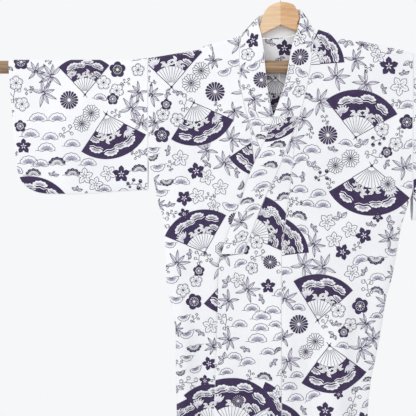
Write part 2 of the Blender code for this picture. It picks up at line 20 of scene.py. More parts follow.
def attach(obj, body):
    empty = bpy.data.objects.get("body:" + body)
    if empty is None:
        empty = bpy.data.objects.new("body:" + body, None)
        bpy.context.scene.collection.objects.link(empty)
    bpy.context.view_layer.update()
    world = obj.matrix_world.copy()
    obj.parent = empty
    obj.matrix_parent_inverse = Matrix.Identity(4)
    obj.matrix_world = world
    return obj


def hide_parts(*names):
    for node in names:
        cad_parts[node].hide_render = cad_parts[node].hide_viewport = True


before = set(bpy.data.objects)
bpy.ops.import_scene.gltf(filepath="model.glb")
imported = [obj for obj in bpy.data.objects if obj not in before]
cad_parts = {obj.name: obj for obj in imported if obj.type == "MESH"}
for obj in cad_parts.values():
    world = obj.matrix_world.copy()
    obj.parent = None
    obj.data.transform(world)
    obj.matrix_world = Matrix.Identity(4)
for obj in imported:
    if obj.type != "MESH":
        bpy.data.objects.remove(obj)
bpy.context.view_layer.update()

# %% [markdown]
# ## Sizes
#
# The panels are straight and thin, cut from one narrow cotton. Their sizes could be measured on the
# loaded part, but named numbers can be read and changed in one place. Left and right are the viewer's.

# %% Sizes
WALL = 0.0012
BAND_WALL = 0.0024
SEAM = 0.0005
OVERLAP_STEP = 0.0042
HEM = -1.54
ROD_RADIUS = 0.0162
ROD_HEIGHT = -0.2215
ROD_HALF_LENGTH = 0.745
HOOK_RADIUS = 0.02
WIRE_RADIUS = 0.0017
HANGER_HALF = 0.007
ARM_ROUND = 0.006
CROWN_ROUND = 0.0022
JOINT_ROUND = 0.0002
JOINT_X = 0.0012
JOINT_GAP = 0.0001
ARM_END = 0.184
WOOD_CLEARANCE = 0.0012
ARMHOLE = 0.325
SLEEVE_END = 0.6676
CUFF_LOW = 0.6529
CUFF_BOTTOM = -0.427
SHOULDER_BASE = -0.245
SIDE_ROUND = 0.034
BODY_DEPTH = 0.0185
SLEEVE_DEPTH = 0.0178
SLEEVE_FLAT = 0.0065
LEFT_NECK = -0.0968
RIGHT_NECK = 0.0821
NECK_SPREAD = 1.6
OVERLAP_TIP = -0.352
COLLAR_END = -0.6818
COVER_END = {"over": -0.345, "under": -0.347}
SIDE_CLOSED = {"left": (-0.49, -0.56), "right": (-0.56, -0.64)}
print("robe", round(2 * SLEEVE_END, 3), "m from cuff to cuff, with its hem at", HEM, "m")

# %% [markdown]
# ## Outlines
#
# Where cloth hangs over something round, or is sewn to a neighbour, its lines bend gently. They could
# be drawn by hand as curves, but a short table with a smooth curve through it can be checked row by
# row.

# %% Outlines
# Height of the cloth's top line: across, height
CREST = (
    (-0.7, -0.2037), (-0.42, -0.2037), (-0.3687, -0.2031), (-0.3197, -0.1986),
    (-0.2634, -0.1895), (-0.2193, -0.1821), (-0.193, -0.1765), (-0.185, -0.169),
    (-0.1164, -0.1505), (-0.0968, -0.1445), (0.0000, -0.129), (0.0796, -0.1262),
    (0.1213, -0.1382), (0.158, -0.1479), (0.1948, -0.1565), (0.2683, -0.1724),
    (0.3173, -0.1845), (0.3663, -0.199), (0.42, -0.2037), (0.7, -0.2037),
)

# Radius of the cloth's turn over what carries it: distance from the middle, radius
TURN = ((0.000, 0.0135), (0.06, 0.0135), (0.11, 0.0108), (0.2, 0.0102), (0.33, 0.0178),
        (0.7, 0.0178))

# Half depth of the hollow body: height, front, back
DEPTH = ((-1.54, 0.024, 0.03), (-1.000, 0.021, 0.026), (-0.7, 0.0165, 0.019),
         (-0.45, 0.0145, 0.015), (-0.3, 0.0175, 0.0175), (-0.245, 0.0185, 0.0185))

# Side line of the body: height, left, right
SIDE = (
    (-1.54, -0.25, 0.206), (-1.079, -0.255, 0.216), (-0.995, -0.257, 0.224),
    (-0.942, -0.257, 0.235), (-0.868, -0.258, 0.25), (-0.795, -0.272, 0.261),
    (-0.757, -0.281, 0.272), (-0.684, -0.283, 0.287), (-0.611, -0.286, 0.299),
    (-0.589, -0.291, 0.305), (-0.556, -0.301, 0.316), (-0.52, -0.308, 0.325),
    (-0.49, -0.314, 0.325), (-0.447, -0.325, 0.325), (-0.1, -0.325, 0.325),
)

# Seam between the collar and the fronts: height, over side, under side
COLLAR_SEAM = (
    (-0.6818, -0.0919, 0.0576), (-0.5985, -0.06, 0.0257), (-0.5422, -0.038, 0.0037),
    (-0.4809, -0.0086, -0.0257), (-0.4172, 0.0174, -0.0517), (-0.3462, 0.0453, -0.0796),
    (-0.2678, 0.0649, -0.098), (-0.2065, 0.0747, -0.101), (-0.1698, 0.0796, -0.0992),
    (-0.145, 0.0821, -0.0968), (-0.1, 0.0821, -0.0968),
)

# Free edge of the collar on the chest: height, over side, under side
COLLAR_EDGE = (
    (-0.6818, -0.1458, 0.1115), (-0.5985, -0.1164, 0.0821), (-0.5422, -0.0936, 0.0593),
    (-0.4809, -0.074, 0.0397), (-0.4172, -0.0441, 0.0098), (-0.3462, -0.0184, -0.016),
    (-0.3045, -0.003, -0.0265), (-0.2678, 0.0098, -0.0331), (-0.2065, 0.0216, -0.039),
    (-0.165, 0.03, -0.0425),
)

# Free edge of the collar round the neck: turn round the neck, across, depth, height
NECK_EDGE = (
    (0.00, 0.04, -0.0125, -0.138), (0.12, 0.049, -0.0095, -0.103),
    (0.22, 0.0505, 0.0000, -0.079), (0.32, 0.043, 0.012, -0.0765),
    (0.5, 0.0000, 0.02, -0.0825), (0.68, -0.047, 0.012, -0.091),
    (0.78, -0.056, 0.0000, -0.101), (0.88, -0.053, -0.009, -0.12),
    (1.00, -0.047, -0.0125, -0.143),
)

# Seam between the fronts and their overlap panels: height, over side, under side
OVERLAP_SEAM = (
    (-1.54, 0.0012, -0.0355), (-0.684, 0.0025, -0.0368), (-0.647, 0.0061, -0.0404),
    (-0.513, 0.0233, -0.0576), (-0.427, 0.0331, -0.0674), (-0.352, 0.0432, -0.0775),
)

# Free edge of the overlap panels: height, over side, under side
OVERLAP_EDGE = (
    (-1.54, -0.166, 0.1317), (-1.079, -0.163, 0.1287), (-0.9, -0.156, 0.1217),
    (-0.706, -0.1507, 0.1164), (-0.682, -0.1458, 0.1115),
)

print(len(CREST), "places on the top line,", len(SIDE), "on a side line")

# %% [markdown]
# ## Folds and creases
#
# Loose cotton falls in soft upright folds, and weak creases run down from shoulders and armholes. A
# cloth simulation could make them, but it would place them anew after each change. A list keeps each
# one where it hangs.

# %% Folds and creases
# Soft upright folds: across at the hem, lean, half width, depth outwards, height of the top
FRONT_FOLDS = (
    (-0.225, 0.02, 0.06, 0.01, -0.52), (-0.178, 0.016, 0.052, -0.009, -0.62),
    (-0.118, 0.000, 0.066, 0.008, -0.7), (-0.058, 0.000, 0.06, -0.006, -0.76),
    (0.002, 0.004, 0.06, 0.006, -0.72), (0.054, 0.02, 0.055, -0.009, -0.64),
    (0.108, 0.034, 0.056, 0.011, -0.58), (0.154, 0.052, 0.05, -0.01, -0.52),
)
BACK_FOLDS = (
    (-0.205, 0.02, 0.055, 0.013, -0.46), (-0.152, 0.012, 0.055, -0.012, -0.58),
    (-0.094, 0.006, 0.06, 0.014, -0.5), (-0.038, 0.000, 0.055, -0.012, -0.62),
    (0.016, 0.000, 0.056, 0.012, -0.54), (0.07, 0.01, 0.058, -0.013, -0.6),
    (0.124, 0.024, 0.056, 0.014, -0.48), (0.17, 0.04, 0.046, -0.011, -0.56),
)

# Bottom line of a sleeve, from the armhole out: across, left height, right height
SLEEVE_BOTTOM = (
    (0.325, -0.525, -0.6), (0.4, -0.529, -0.588), (0.47, -0.534, -0.572),
    (0.53, -0.5356, -0.56), (0.575, -0.535, -0.552), (0.6, -0.531, -0.545),
    (0.622, -0.52, -0.531), (0.639, -0.5005, -0.508), (0.648, -0.47, -0.472),
    (0.6529, -0.427, -0.427),
)

# Creases: from across and height, to across and height, half width, depth outwards
FRONT_CREASES = (
    (0.05, -0.44, 0.12, -0.64, 0.022, 0.0016),
    (0.09, -0.42, 0.17, -0.64, 0.024, -0.0014),
    (0.2, -0.33, 0.255, -0.56, 0.03, 0.0016),
    (0.235, -0.26, 0.3, -0.43, 0.02, -0.0012),
    (0.12, -0.25, 0.25, -0.3, 0.018, 0.0009),
    (-0.12, -0.27, -0.23, -0.33, 0.02, 0.001),
    (-0.2, -0.33, -0.262, -0.6, 0.026, 0.0015),
    (-0.16, -0.42, -0.2, -0.7, 0.024, -0.0013),
    (-0.06, -0.72, -0.062, -1.1, 0.014, 0.0012),
    (-0.105, -0.8, -0.1, -1.3, 0.018, -0.0012),
    (0.04, -0.76, 0.034, -1.25, 0.016, -0.0011),
)
BACK_CREASES = (
    (-0.02, -0.29, -0.13, -0.48, 0.024, 0.0014),
    (0.03, -0.27, 0.16, -0.44, 0.026, 0.0014),
    (0.12, -0.38, 0.2, -0.7, 0.022, -0.0013),
    (-0.14, -0.36, -0.21, -0.66, 0.024, -0.0014),
    (0.25, -0.26, 0.29, -0.46, 0.018, 0.0012),
    (-0.26, -0.26, -0.292, -0.45, 0.018, 0.0012),
    (-0.04, -0.62, -0.06, -1.000, 0.018, 0.0012),
    (0.06, -0.68, 0.05, -1.2, 0.018, -0.0012),
)
SLEEVE_CREASES = (
    (0.345, -0.235, 0.372, -0.47, 0.018, 0.0012),
    (0.4, -0.23, 0.43, -0.5, 0.024, -0.0012),
    (0.47, -0.24, 0.5, -0.47, 0.022, 0.0012),
    (0.56, -0.235, 0.575, -0.42, 0.02, -0.001),
    (0.62, -0.24, 0.616, -0.4, 0.014, 0.0009),
)
print(len(FRONT_FOLDS + BACK_FOLDS), "folds and", len(FRONT_CREASES + BACK_CREASES), "body creases")

# %% [markdown]
# ## Surfaces of the cloth
#
# The cloth turns over the wood and hangs down, with air between front and back. Seen from the front,
# each side covers a place only once, so one depth for each place states the whole shape. That is
# chosen over modelling by hand, because print and stitches can ask for the same depth later. First
# comes the curve through a table, which never swings past the rows beside it.

# %% Surfaces of the cloth
def ease(start, end, value):
    share = min(1.0, max(0.0, (value - start) / (end - start)))
    return share * share * (3.0 - 2.0 * share)


def smooth_curve(rows, column):
    """Smooth curve through one column of a table, as a function of its first column."""
    places = [row[0] for row in rows]
    values = [row[column] for row in rows]
    last = len(rows) - 1
    pieces = []
    for i in range(last):
        span = places[i + 1] - places[i]
        rise = (values[i + 1] - values[i]) / span
        before, after = max(i - 1, 0), min(i + 2, last)
        slopes = []
        for first, second in ((before, i + 1), (i, after)):
            slope = (values[second] - values[first]) / (places[second] - places[first])
            limited = math.copysign(min(abs(slope), 2.5 * abs(rise)), rise)
            slopes.append(limited if slope * rise > 0 else 0.0)
        pieces.append((places[i], span, values[i], values[i + 1], slopes[0], slopes[1]))

    def curve(at):
        if at <= places[0]:
            return values[0]
        if at >= places[-1]:
            return values[-1]
        start, span, low, high, slope_low, slope_high = pieces[bisect.bisect_right(places, at) - 1]
        t = (at - start) / span
        t2 = t * t
        t3 = t2 * t
        return ((2 * t3 - 3 * t2 + 1) * low + (t3 - 2 * t2 + t) * span * slope_low
                + (3 * t2 - 2 * t3) * high + (t3 - t2) * span * slope_high)
    return curve

# %% [markdown]
# The two halves of the robe differ only in their numbers, so each line is looked up by its side or by
# its layer: the front on the viewer's right is the over layer, and it laps over the other one.

# %% Lines by side and by layer
crest_at = smooth_curve(CREST, 1)
turn_at = smooth_curve(TURN, 1)
NECK_EDGE_AT = [smooth_curve(NECK_EDGE, column) for column in (1, 2, 3)]


def two_curves(rows, first, second):
    return {first: smooth_curve(rows, 1), second: smooth_curve(rows, 2)}


DEPTH_AT = two_curves(DEPTH, "front", "back")
SIDE_AT = two_curves(SIDE, "left", "right")
BOTTOM_AT = two_curves(SLEEVE_BOTTOM, "left", "right")
SEAM_AT, EDGE_AT, LAP_SEAM_AT, LAP_EDGE_AT = [
    two_curves(rows, "over", "under") for rows in (COLLAR_SEAM, COLLAR_EDGE, OVERLAP_SEAM, OVERLAP_EDGE)]
LAYER = {"left": "under", "right": "over"}
OUTWARDS = {"left": -1.0, "right": 1.0}
NECK = {"left": LEFT_NECK, "right": RIGHT_NECK}
print("top of the cloth at the middle", round(crest_at(0.0), 4), "m")

# %% [markdown]
# A fold is a ridge that deepens down to the hem, and a crease is one that fades at both ends. Cloth
# carries many at once, so they are added up.

# %% Ridges of folds and creases
def folds(table, x, z):
    total = 0.0
    for at_hem, lean, half_width, depth, top in table:
        if z < top:
            centre = at_hem * (1.0 + 0.12 * (z - HEM)) + lean * math.copysign(1.0, at_hem) * (z - HEM)
            share = abs(x - centre) / half_width
            if share < 1.0:
                total += depth * math.cos(share * math.pi / 2) ** 2 * ease(top, top - 0.45, z)
    return total


def creases(table, x, z):
    """Soft ridges and troughs along straight lines, fading at both ends."""
    total = 0.0
    for x0, z0, x1, z1, half_width, depth in table:
        dx, dz = x1 - x0, z1 - z0
        length = math.hypot(dx, dz)
        along = ((x - x0) * dx + (z - z0) * dz) / (length * length)
        if 0.0 < along < 1.0:
            away = abs((x - x0) * dz - (z - z0) * dx) / length / half_width
            if away < 1.0:
                total += depth * (1.0 - away * away) ** 2 * math.sin(along * math.pi) ** 0.7
    return total


hem_depths = [folds(FRONT_FOLDS, column / 100, HEM) for column in range(-30, 31)]
print("folds at the hem from", round(min(hem_depths), 4), "to", round(max(hem_depths), 4), "m")

# %% [markdown]
# Over the wood the cloth follows a quarter circle and then eases into the hollow of the body, with a
# step where the upper front lies on the lower one.

# %% Depth of the body
def arch_depth(x, z):
    radius = turn_at(abs(x))
    crest = crest_at(x)
    drop = max(0.0, crest - z)
    if drop < radius:
        return math.sqrt(max(0.0, 2.0 * radius * drop - drop * drop))
    low = max(radius + 0.0002, crest - ROD_HEIGHT)
    base = BODY_DEPTH + (SLEEVE_DEPTH - BODY_DEPTH) * ease(0.26, ARMHOLE, abs(x))
    return radius + (base - radius) * ease(radius, low, drop)


def half_depth(x, z, face):
    if z >= SHOULDER_BASE:
        return arch_depth(x, z)
    base = DEPTH_AT[face](z)
    base -= (BODY_DEPTH - SLEEVE_DEPTH) * ease(0.26, ARMHOLE, abs(x)) * ease(-0.35, SHOULDER_BASE, z)
    if face == "front":
        return base + folds(FRONT_FOLDS, x, z) + creases(FRONT_CREASES, x, z)
    return base + folds(BACK_FOLDS, x, z) + creases(BACK_CREASES, x, z)


def over_step(x, z):
    edge = EDGE_AT["under"](z) if z > COLLAR_END else LAP_EDGE_AT["under"](z)
    return OVERLAP_STEP * ease(-0.285, -0.335, z) * (1.0 - ease(edge + 0.008, edge + 0.065, x))


def front_depth(x, z, layer, out=0.0):
    """Depth of the middle of a front panel, towards the viewer."""
    step = over_step(x, z) if layer == "over" else 0.0
    return -half_depth(x, z, "front") - step - out


def side_round(side, face, x, z):
    """Depth of a body panel, closing on the other panel at its side seam."""
    y = front_depth(x, z, LAYER[side]) if face == "front" else half_depth(x, z, "back")
    outer = SIDE_AT[side](z) * OUTWARDS[side]
    start, end = SIDE_CLOSED[side]
    shut = ease(start, end, z) if z < start else 0.0
    past = (x * OUTWARDS[side] - outer + SIDE_ROUND) / SIDE_ROUND
    if shut <= 0.0 or past <= 0.0:
        return y
    past = min(past, 1.0)
    keep = 1.0 - shut * (1.0 - math.sqrt(max(0.0, 1.0 - past * past)))
    return y * keep + math.copysign(SEAM, y) * shut * (1.0 - keep)


print("hollow of the body at the chest", round(2 * half_depth(0.1, -0.45, "back"), 4), "m deep")

# %% [markdown]
# ## Surfaces of the sleeves
#
# A sleeve is a flat tube, sewn shut along its bottom with a round outer corner. It has the depth of
# the body at the armhole and flattens towards the cuff.

# %% Surfaces of the sleeves
def sleeve_half_depth(side, across, share, z, curve_top, face):
    near = half_depth(OUTWARDS[side] * across, z, face)
    if z >= SHOULDER_BASE:
        return near
    down = (SHOULDER_BASE - z) / (SHOULDER_BASE - curve_top)
    flat = SLEEVE_DEPTH + (SLEEVE_FLAT - SLEEVE_DEPTH) * min(1.0, down)
    wave = 0.0022 * math.sin(across * 46.0 + z * 9.0) * ease(0.0, 0.35, down)
    wave += creases(SLEEVE_CREASES, across + (0.02 if face == "back" else 0.0), z)
    return near + (flat + wave - near) * ease(0.0, 0.3, share)


def sleeve_lines(side, across):
    """Top place, low place, top height and bottom height of a sleeve's section."""
    share = (across - ARMHOLE) / (CUFF_LOW - ARMHOLE)
    top_x = ARMHOLE + SEAM + (SLEEVE_END - ARMHOLE - SEAM) * share
    low_x = across + SEAM * (1.0 - share)
    return share, top_x, low_x, crest_at(OUTWARDS[side] * top_x), BOTTOM_AT[side](across)


def sleeve_depth_at(side, x, z, face):
    """Depth of a sleeve's sheet at a place seen from the front."""
    out = abs(x)
    across = ARMHOLE + (out - ARMHOLE) * (CUFF_LOW - ARMHOLE) / (SLEEVE_END - ARMHOLE)
    for _ in range(3):
        share, top_x, low_x, crest, bottom = sleeve_lines(side, across)
        here = top_x + (low_x - top_x) * (crest - z) / (crest - bottom)
        across = min(CUFF_LOW, max(ARMHOLE, across + (out - here) * 0.98))
    share, top_x, low_x, crest, bottom = sleeve_lines(side, across)
    curve_top = bottom + 0.09 * (crest - bottom)
    depth = sleeve_half_depth(side, top_x, share, z, curve_top, face)
    if z < curve_top:
        depth *= math.sqrt(max(0.0, 1.0 - ((curve_top - z) / (curve_top - bottom)) ** 2))
    return depth

# %% [markdown]
# ## Building shells
#
# Real cloth has two faces and a cut edge. A Solidify modifier would give a plane those too, but its
# rim could not be steered where pieces nearly touch. So a grid of points is moved out along its
# normals to both sides, and the rim is closed.

# %% Building shells
def link(name, vertices, faces, material, smooth=True):
    data = bpy.data.meshes.new(name)
    data.from_pydata([tuple(v) for v in vertices], [], faces)
    data.update()
    if smooth:
        data.shade_smooth()
    data.materials.append(material)
    item = bpy.data.objects.new(name, data)
    bpy.context.scene.collection.objects.link(item)
    return item


def grid_normals(grid, closed):
    rows, columns = len(grid), len(grid[0])
    normals = []
    for i in range(rows):
        line = []
        for j in range(columns):
            along = grid[min(i + 1, rows - 1)][j] - grid[max(i - 1, 0)][j]
            if closed:
                across = grid[i][(j + 1) % columns] - grid[i][(j - 1) % columns]
            else:
                across = grid[i][min(j + 1, columns - 1)] - grid[i][max(j - 1, 0)]
            line.append(along.cross(across).normalized())
        normals.append(line)
    return normals


def make_shell(name, grid, thickness, material, closed=False):
    """Closed thin shell on both sides of a grid of points, with a rim all round."""
    rows, columns = len(grid), len(grid[0])
    normals = grid_normals(grid, closed)
    points = []
    for offset in (thickness / 2, -thickness / 2):
        for i in range(rows):
            points += [grid[i][j] + normals[i][j] * offset for j in range(columns)]
    inner = rows * columns
    spans = columns if closed else columns - 1
    faces = []
    for i in range(rows - 1):
        for j in range(spans):
            k = (j + 1) % columns
            a, b, c, d = i * columns + j, (i + 1) * columns + j, (i + 1) * columns + k, i * columns + k
            faces.append((a, b, c, d))
            faces.append((a + inner, d + inner, c + inner, b + inner))
    for i, turned in ((0, False), (rows - 1, True)):
        for j in range(spans):
            a, b = i * columns + j, i * columns + (j + 1) % columns
            faces.append((a, a + inner, b + inner, b) if turned else (a, b, b + inner, a + inner))
    if not closed:
        for j, turned in ((0, True), (columns - 1, False)):
            for i in range(rows - 1):
                a, b = i * columns + j, (i + 1) * columns + j
                faces.append((a, a + inner, b + inner, b) if turned else (a, b, b + inner, a + inner))
    item = link(name, points, faces, material)
    item.data.set_sharp_from_angle(angle=math.radians(50))
    return item


def spaced(start, end, step):
    count = max(1, round(abs(end - start) / step))
    return [start + (end - start) * i / count for i in range(count + 1)]

# %% [markdown]
# ## Grids of the body
#
# Rows and columns of a grid lie closer together where the cloth turns over the wood or round at its
# side, since a bend needs more faces than a flat stretch.

# %% Grids of the body
ROW_STEP = 0.0085
BAND_STEP = 0.007
SLEEVE_STEP = 0.007
COLUMN_COUNT = 48
TURN_COUNT = 12
LAP_COUNT = 36
BAND_COUNT = 12
NECK_COUNT = 64
ARCH_LIMIT = 85.0
ARCH_SHARES = [1.0 - 0.93 * i / 7 for i in range(8)]
ARCH_ANGLES = [ARCH_LIMIT - ARCH_LIMIT * i / 9 for i in range(9)]


def arch_drops():
    drops = []
    for share in ARCH_SHARES:
        def drop(x, share=share):
            radius = turn_at(abs(x))
            return radius + (crest_at(x) - SHOULDER_BASE - radius) * share
        drops.append(drop)
    for angle in ARCH_ANGLES:
        def drop(x, angle=angle):
            return turn_at(abs(x)) * (1.0 - math.cos(math.radians(angle)))
        drops.append(drop)
    return drops


def front_inner(side, z):
    table = SEAM_AT if z > OVERLAP_TIP else LAP_SEAM_AT
    return table[LAYER[side]](z) + OUTWARDS[side] * SEAM / 2


def side_places(inner, outer, outwards):
    """Places across a panel, closer together where it turns round at its side."""
    flat_end = outer - outwards * SIDE_ROUND
    places = [inner + (flat_end - inner) * i / COLUMN_COUNT for i in range(COLUMN_COUNT)]
    for i in range(TURN_COUNT + 1):
        places.append(flat_end + outwards * SIDE_ROUND * math.sin(i / TURN_COUNT * math.pi / 2))
    return places


def body_grid(side):
    outwards = OUTWARDS[side]
    layer = LAYER[side]
    heights = spaced(HEM, SHOULDER_BASE - 0.004, ROW_STEP)
    drops = arch_drops()
    neck = NECK[side]
    grid = []
    for z in heights:
        places = side_places(front_inner(side, z), SIDE_AT[side](z), outwards)
        grid.append([Vector((x, side_round(side, "front", x, z), z)) for x in places])
    for drop in drops:
        height = crest_at(neck) - drop(neck)
        inner = SEAM_AT[layer](height) + outwards * SEAM / 2
        row = []
        for x in side_places(inner, outwards * ARMHOLE, outwards):
            z = crest_at(x) - drop(x)
            row.append(Vector((x, -arch_depth(x, z), z)))
        grid.append(row)
    for index in reversed(range(len(drops) - 1)):
        inner = outwards * SEAM / 2
        if index >= len(ARCH_SHARES):
            share = ARCH_ANGLES[index - len(ARCH_SHARES)] / ARCH_LIMIT / NECK_SPREAD
            inner = neck * math.cos(share * math.pi / 2)
        row = []
        for x in side_places(inner, outwards * ARMHOLE, outwards):
            z = crest_at(x) - drops[index](x)
            row.append(Vector((x, arch_depth(x, z), z)))
        grid.append(row)
    for z in reversed(heights):
        places = side_places(outwards * SEAM / 2, SIDE_AT[side](z), outwards)
        grid.append([Vector((x, side_round(side, "back", x, z), z)) for x in places])
    return grid


def overlap_grid(layer):
    towards_seam = 1.0 if layer == "over" else -1.0
    grid = []
    for z in spaced(HEM, OVERLAP_TIP - 0.006, ROW_STEP):
        seam = LAP_SEAM_AT[layer](z) - towards_seam * SEAM / 2
        if z < COLLAR_END - SEAM:
            edge = LAP_EDGE_AT[layer](z)
        else:
            edge = SEAM_AT[layer](z) + towards_seam * SEAM
        row = []
        for i in range(LAP_COUNT + 1):
            x = edge + (seam - edge) * i / LAP_COUNT
            row.append(Vector((x, front_depth(x, z, layer), z)))
        grid.append(row)
    return grid


print("rows over the shoulder:", 2 * len(arch_drops()) - 1)

# %% [markdown]
# ## Grids of the collar and the sleeves
#
# The collar is a long band, folded double and sewn round the neck, with both ends on the chest. The
# rows of its grid run across it and follow it from one end to the other.

# %% Grids of the collar and the sleeves
BAND_SWELL = 0.0009
NECK_FRONT = 0.22
NECK_BACK = 0.28


def chest_row(z, layer):
    inwards = -1.0 if layer == "over" else 1.0
    seam = SEAM_AT[layer](z) + inwards * SEAM / 2
    edge = EDGE_AT[layer](z)
    row = []
    for i in range(BAND_COUNT + 1):
        x = seam + (edge - seam) * i / BAND_COUNT
        swell = BAND_SWELL * math.sin(i / BAND_COUNT * math.pi)
        row.append(Vector((x, front_depth(x, z, layer, (BAND_WALL - WALL) / 2 + swell), z)))
    return row


def neck_seam(turn):
    """Where the band is sewn on, from its right front (0) round the back to its left front (1)."""
    side = "right" if turn <= 0.5 else "left"
    neck = NECK[side]
    away = min(turn, 1.0 - turn)
    if away <= NECK_FRONT:
        height = crest_at(neck) - (1.0 - away / NECK_FRONT) * 0.026
        x = SEAM_AT[LAYER[side]](height)
        return Vector((x, -arch_depth(x, height), height))
    share = (away - NECK_FRONT) / NECK_BACK
    x = neck * math.cos(share * math.pi / 2)
    radius = turn_at(abs(x))
    over = share * NECK_SPREAD
    drop = radius * (1.0 - math.cos(math.radians(ARCH_LIMIT * min(1.0, over))))
    if over > 1.0:
        corner = abs(math.cos(math.pi / 2 / NECK_SPREAD) * neck)
        lowest = radius + (crest_at(x) - SHOULDER_BASE - radius) * ARCH_SHARES[-1]
        drop += (lowest - drop) * (1.0 - abs(x) / corner)
    height = crest_at(x) - drop
    return Vector((x, arch_depth(x, height), height))


def neck_row(turn):
    seam = neck_seam(turn)
    edge = Vector([curve(turn) for curve in NECK_EDGE_AT])
    start = seam + (edge - seam).normalized() * SEAM * (1.0 + 3.0 * math.sin(turn * math.pi))
    return [start + (edge - start) * i / BAND_COUNT for i in range(BAND_COUNT + 1)]


def cover_grid():
    def heights(layer):
        top = crest_at(RIGHT_NECK if layer == "over" else LEFT_NECK) - 0.036
        return spaced(COVER_END[layer], top, BAND_STEP)
    grid = [chest_row(z, "over") for z in heights("over")]
    grid += [neck_row(i / NECK_COUNT) for i in range(NECK_COUNT + 1)]
    return grid + [chest_row(z, "under") for z in reversed(heights("under"))]


def collar_grid(layer):
    return [chest_row(z, layer) for z in spaced(COLLAR_END, COVER_END[layer] - SEAM, BAND_STEP)]


def sleeve_grid(side):
    sign = OUTWARDS[side]
    stations = []
    for (first, _, _), (second, _, _) in zip(SLEEVE_BOTTOM, SLEEVE_BOTTOM[1:]):
        stations += spaced(first, second, SLEEVE_STEP)[:-1]
    stations.append(SLEEVE_BOTTOM[-1][0])
    grid = []
    for across in stations:
        share, top_x, low_x, crest, bottom = sleeve_lines(side, across)
        radius = turn_at(top_x)
        curve_top = bottom + 0.09 * (crest - bottom)
        half = [(crest - radius * (1.0 - math.cos(math.radians(a))), 1.0) for a in ARCH_ANGLES[-2::-1]]
        half += [(crest - radius + (curve_top - crest + radius) * i / 34, 1.0) for i in range(1, 35)]
        for i in range(1, 8):
            turn = i / 8 * math.pi / 2
            half.append((curve_top + (bottom - curve_top) * math.sin(turn), math.cos(turn)))
        front, back = [], []
        for z, shut in half:
            x = sign * (top_x + (low_x - top_x) * (crest - z) / (crest - bottom))
            for line, face, way in ((front, "front", -1.0), (back, "back", 1.0)):
                depth = sleeve_half_depth(side, top_x, share, z, curve_top, face) * shut
                line.append(Vector((x, way * depth, z)))
        ring = front[::-1] + [Vector((sign * top_x, 0.0, crest))] + back
        grid.append(ring + [Vector((sign * low_x, 0.0, bottom))])
    return grid

# %% [markdown]
# ## Cotton and ink
#
# The cloth is a plain woven cotton. An image texture could show its weave, but it would blur from near
# by, so waves and noise make the threads as a bump, and a soft cloud varies the colour. On the white
# cotton that wide grey-blue cloud is painted soft shade, spread at random; on the inks it is uneven
# tone. The dyes are the same cotton in other colours, since a dye colours the threads and leaves no
# film on them.

# %% Cotton and ink
THREAD_PITCH = 0.0007


def new_material(name):
    material = bpy.data.materials.new(name)
    material.use_nodes = True
    tree = material.node_tree
    return material, tree, tree.nodes["Principled BSDF"]


def add_node(tree, kind, settings=(), **inputs):
    """Node with its settings, and each named input set to a value or joined to a socket."""
    node = tree.nodes.new(kind)
    for key, value in dict(settings).items():
        setattr(node, key, value)
    for key, value in inputs.items():
        socket = node.inputs[key.replace("_", " ")]
        if isinstance(value, bpy.types.NodeSocket):
            tree.links.new(value, socket)
        else:
            socket.default_value = value
    return node


def combine(tree, operation, first, second):
    node = add_node(tree, "ShaderNodeMath", {"operation": operation})
    tree.links.new(first, node.inputs[0])
    tree.links.new(second, node.inputs[1])
    return node.outputs[0]


def finish_surface(tree, shader, noise, dark, light, low, high, height, strength, distance):
    """Colour between two ends that follows a noise, and a bump that follows a height."""
    ramp = add_node(tree, "ShaderNodeValToRGB", Fac=noise)
    for end, place, colour in zip(ramp.color_ramp.elements, (low, high), (dark, light)):
        end.position = place
        end.color = (*colour, 1.0)
    tree.links.new(ramp.outputs["Color"], shader.inputs["Base Color"])
    bump = add_node(tree, "ShaderNodeBump", Height=height, Strength=strength, Distance=distance)
    tree.links.new(bump.outputs["Normal"], shader.inputs["Normal"])


def cloth_material(name, light, dark, cloud=5.0, roughness=0.9):
    """Plain weave of threads across and threads up, with a few thick ones."""
    material, tree, shader = new_material(name)
    place = add_node(tree, "ShaderNodeTexCoord").outputs["Object"]
    threads = []
    for direction in ("X", "Z"):
        wave = add_node(tree, "ShaderNodeTexWave", {"wave_type": "BANDS", "bands_direction": direction},
                        Vector=place, Scale=0.32 / THREAD_PITCH, Distortion=1.2, Detail=1.0)
        threads.append(wave.outputs["Fac"])
    slub = add_node(tree, "ShaderNodeTexNoise", Vector=place, Scale=420.0, Detail=2.0).outputs["Fac"]
    weave = combine(tree, "ADD", combine(tree, "MULTIPLY", *threads), slub)
    # Wide colour cloud: painted soft shade on the white cotton and band, uneven tone on inks and thread
    noise = add_node(tree, "ShaderNodeTexNoise", Vector=place, Scale=cloud, Detail=4.0, Roughness=0.6)
    finish_surface(tree, shader, noise.outputs["Fac"], dark, light, 0.3, 0.7, weave, 0.25, 0.0002)
    shader.inputs["Roughness"].default_value = roughness
    shader.inputs["Sheen Weight"].default_value = 0.12
    shader.inputs["Specular IOR Level"].default_value = 0.25
    return material

# %% [markdown]
# ## Wood
#
# The hanger is two glued boards, one paler than the other, and the rod is an old stained stick. Wood
# is known by its grain, so its noise is stretched along the piece. The same noise drives a faint bump,
# because pores are dark and low at once.

# %% Wood
def wood_material(name, light, dark, grain, direction, roughness, bump_strength=0.15):
    material, tree, shader = new_material(name)
    place = add_node(tree, "ShaderNodeTexCoord").outputs["Object"]
    along = add_node(tree, "ShaderNodeMapping", Vector=place, Scale=direction).outputs["Vector"]
    noise = add_node(tree, "ShaderNodeTexNoise", Vector=along, Scale=grain, Detail=6.0, Roughness=0.65,
                     Distortion=0.4).outputs["Fac"]
    finish_surface(tree, shader, noise, dark, light, 0.34, 0.66, noise, bump_strength, 0.0004)
    shader.inputs["Roughness"].default_value = roughness
    return material
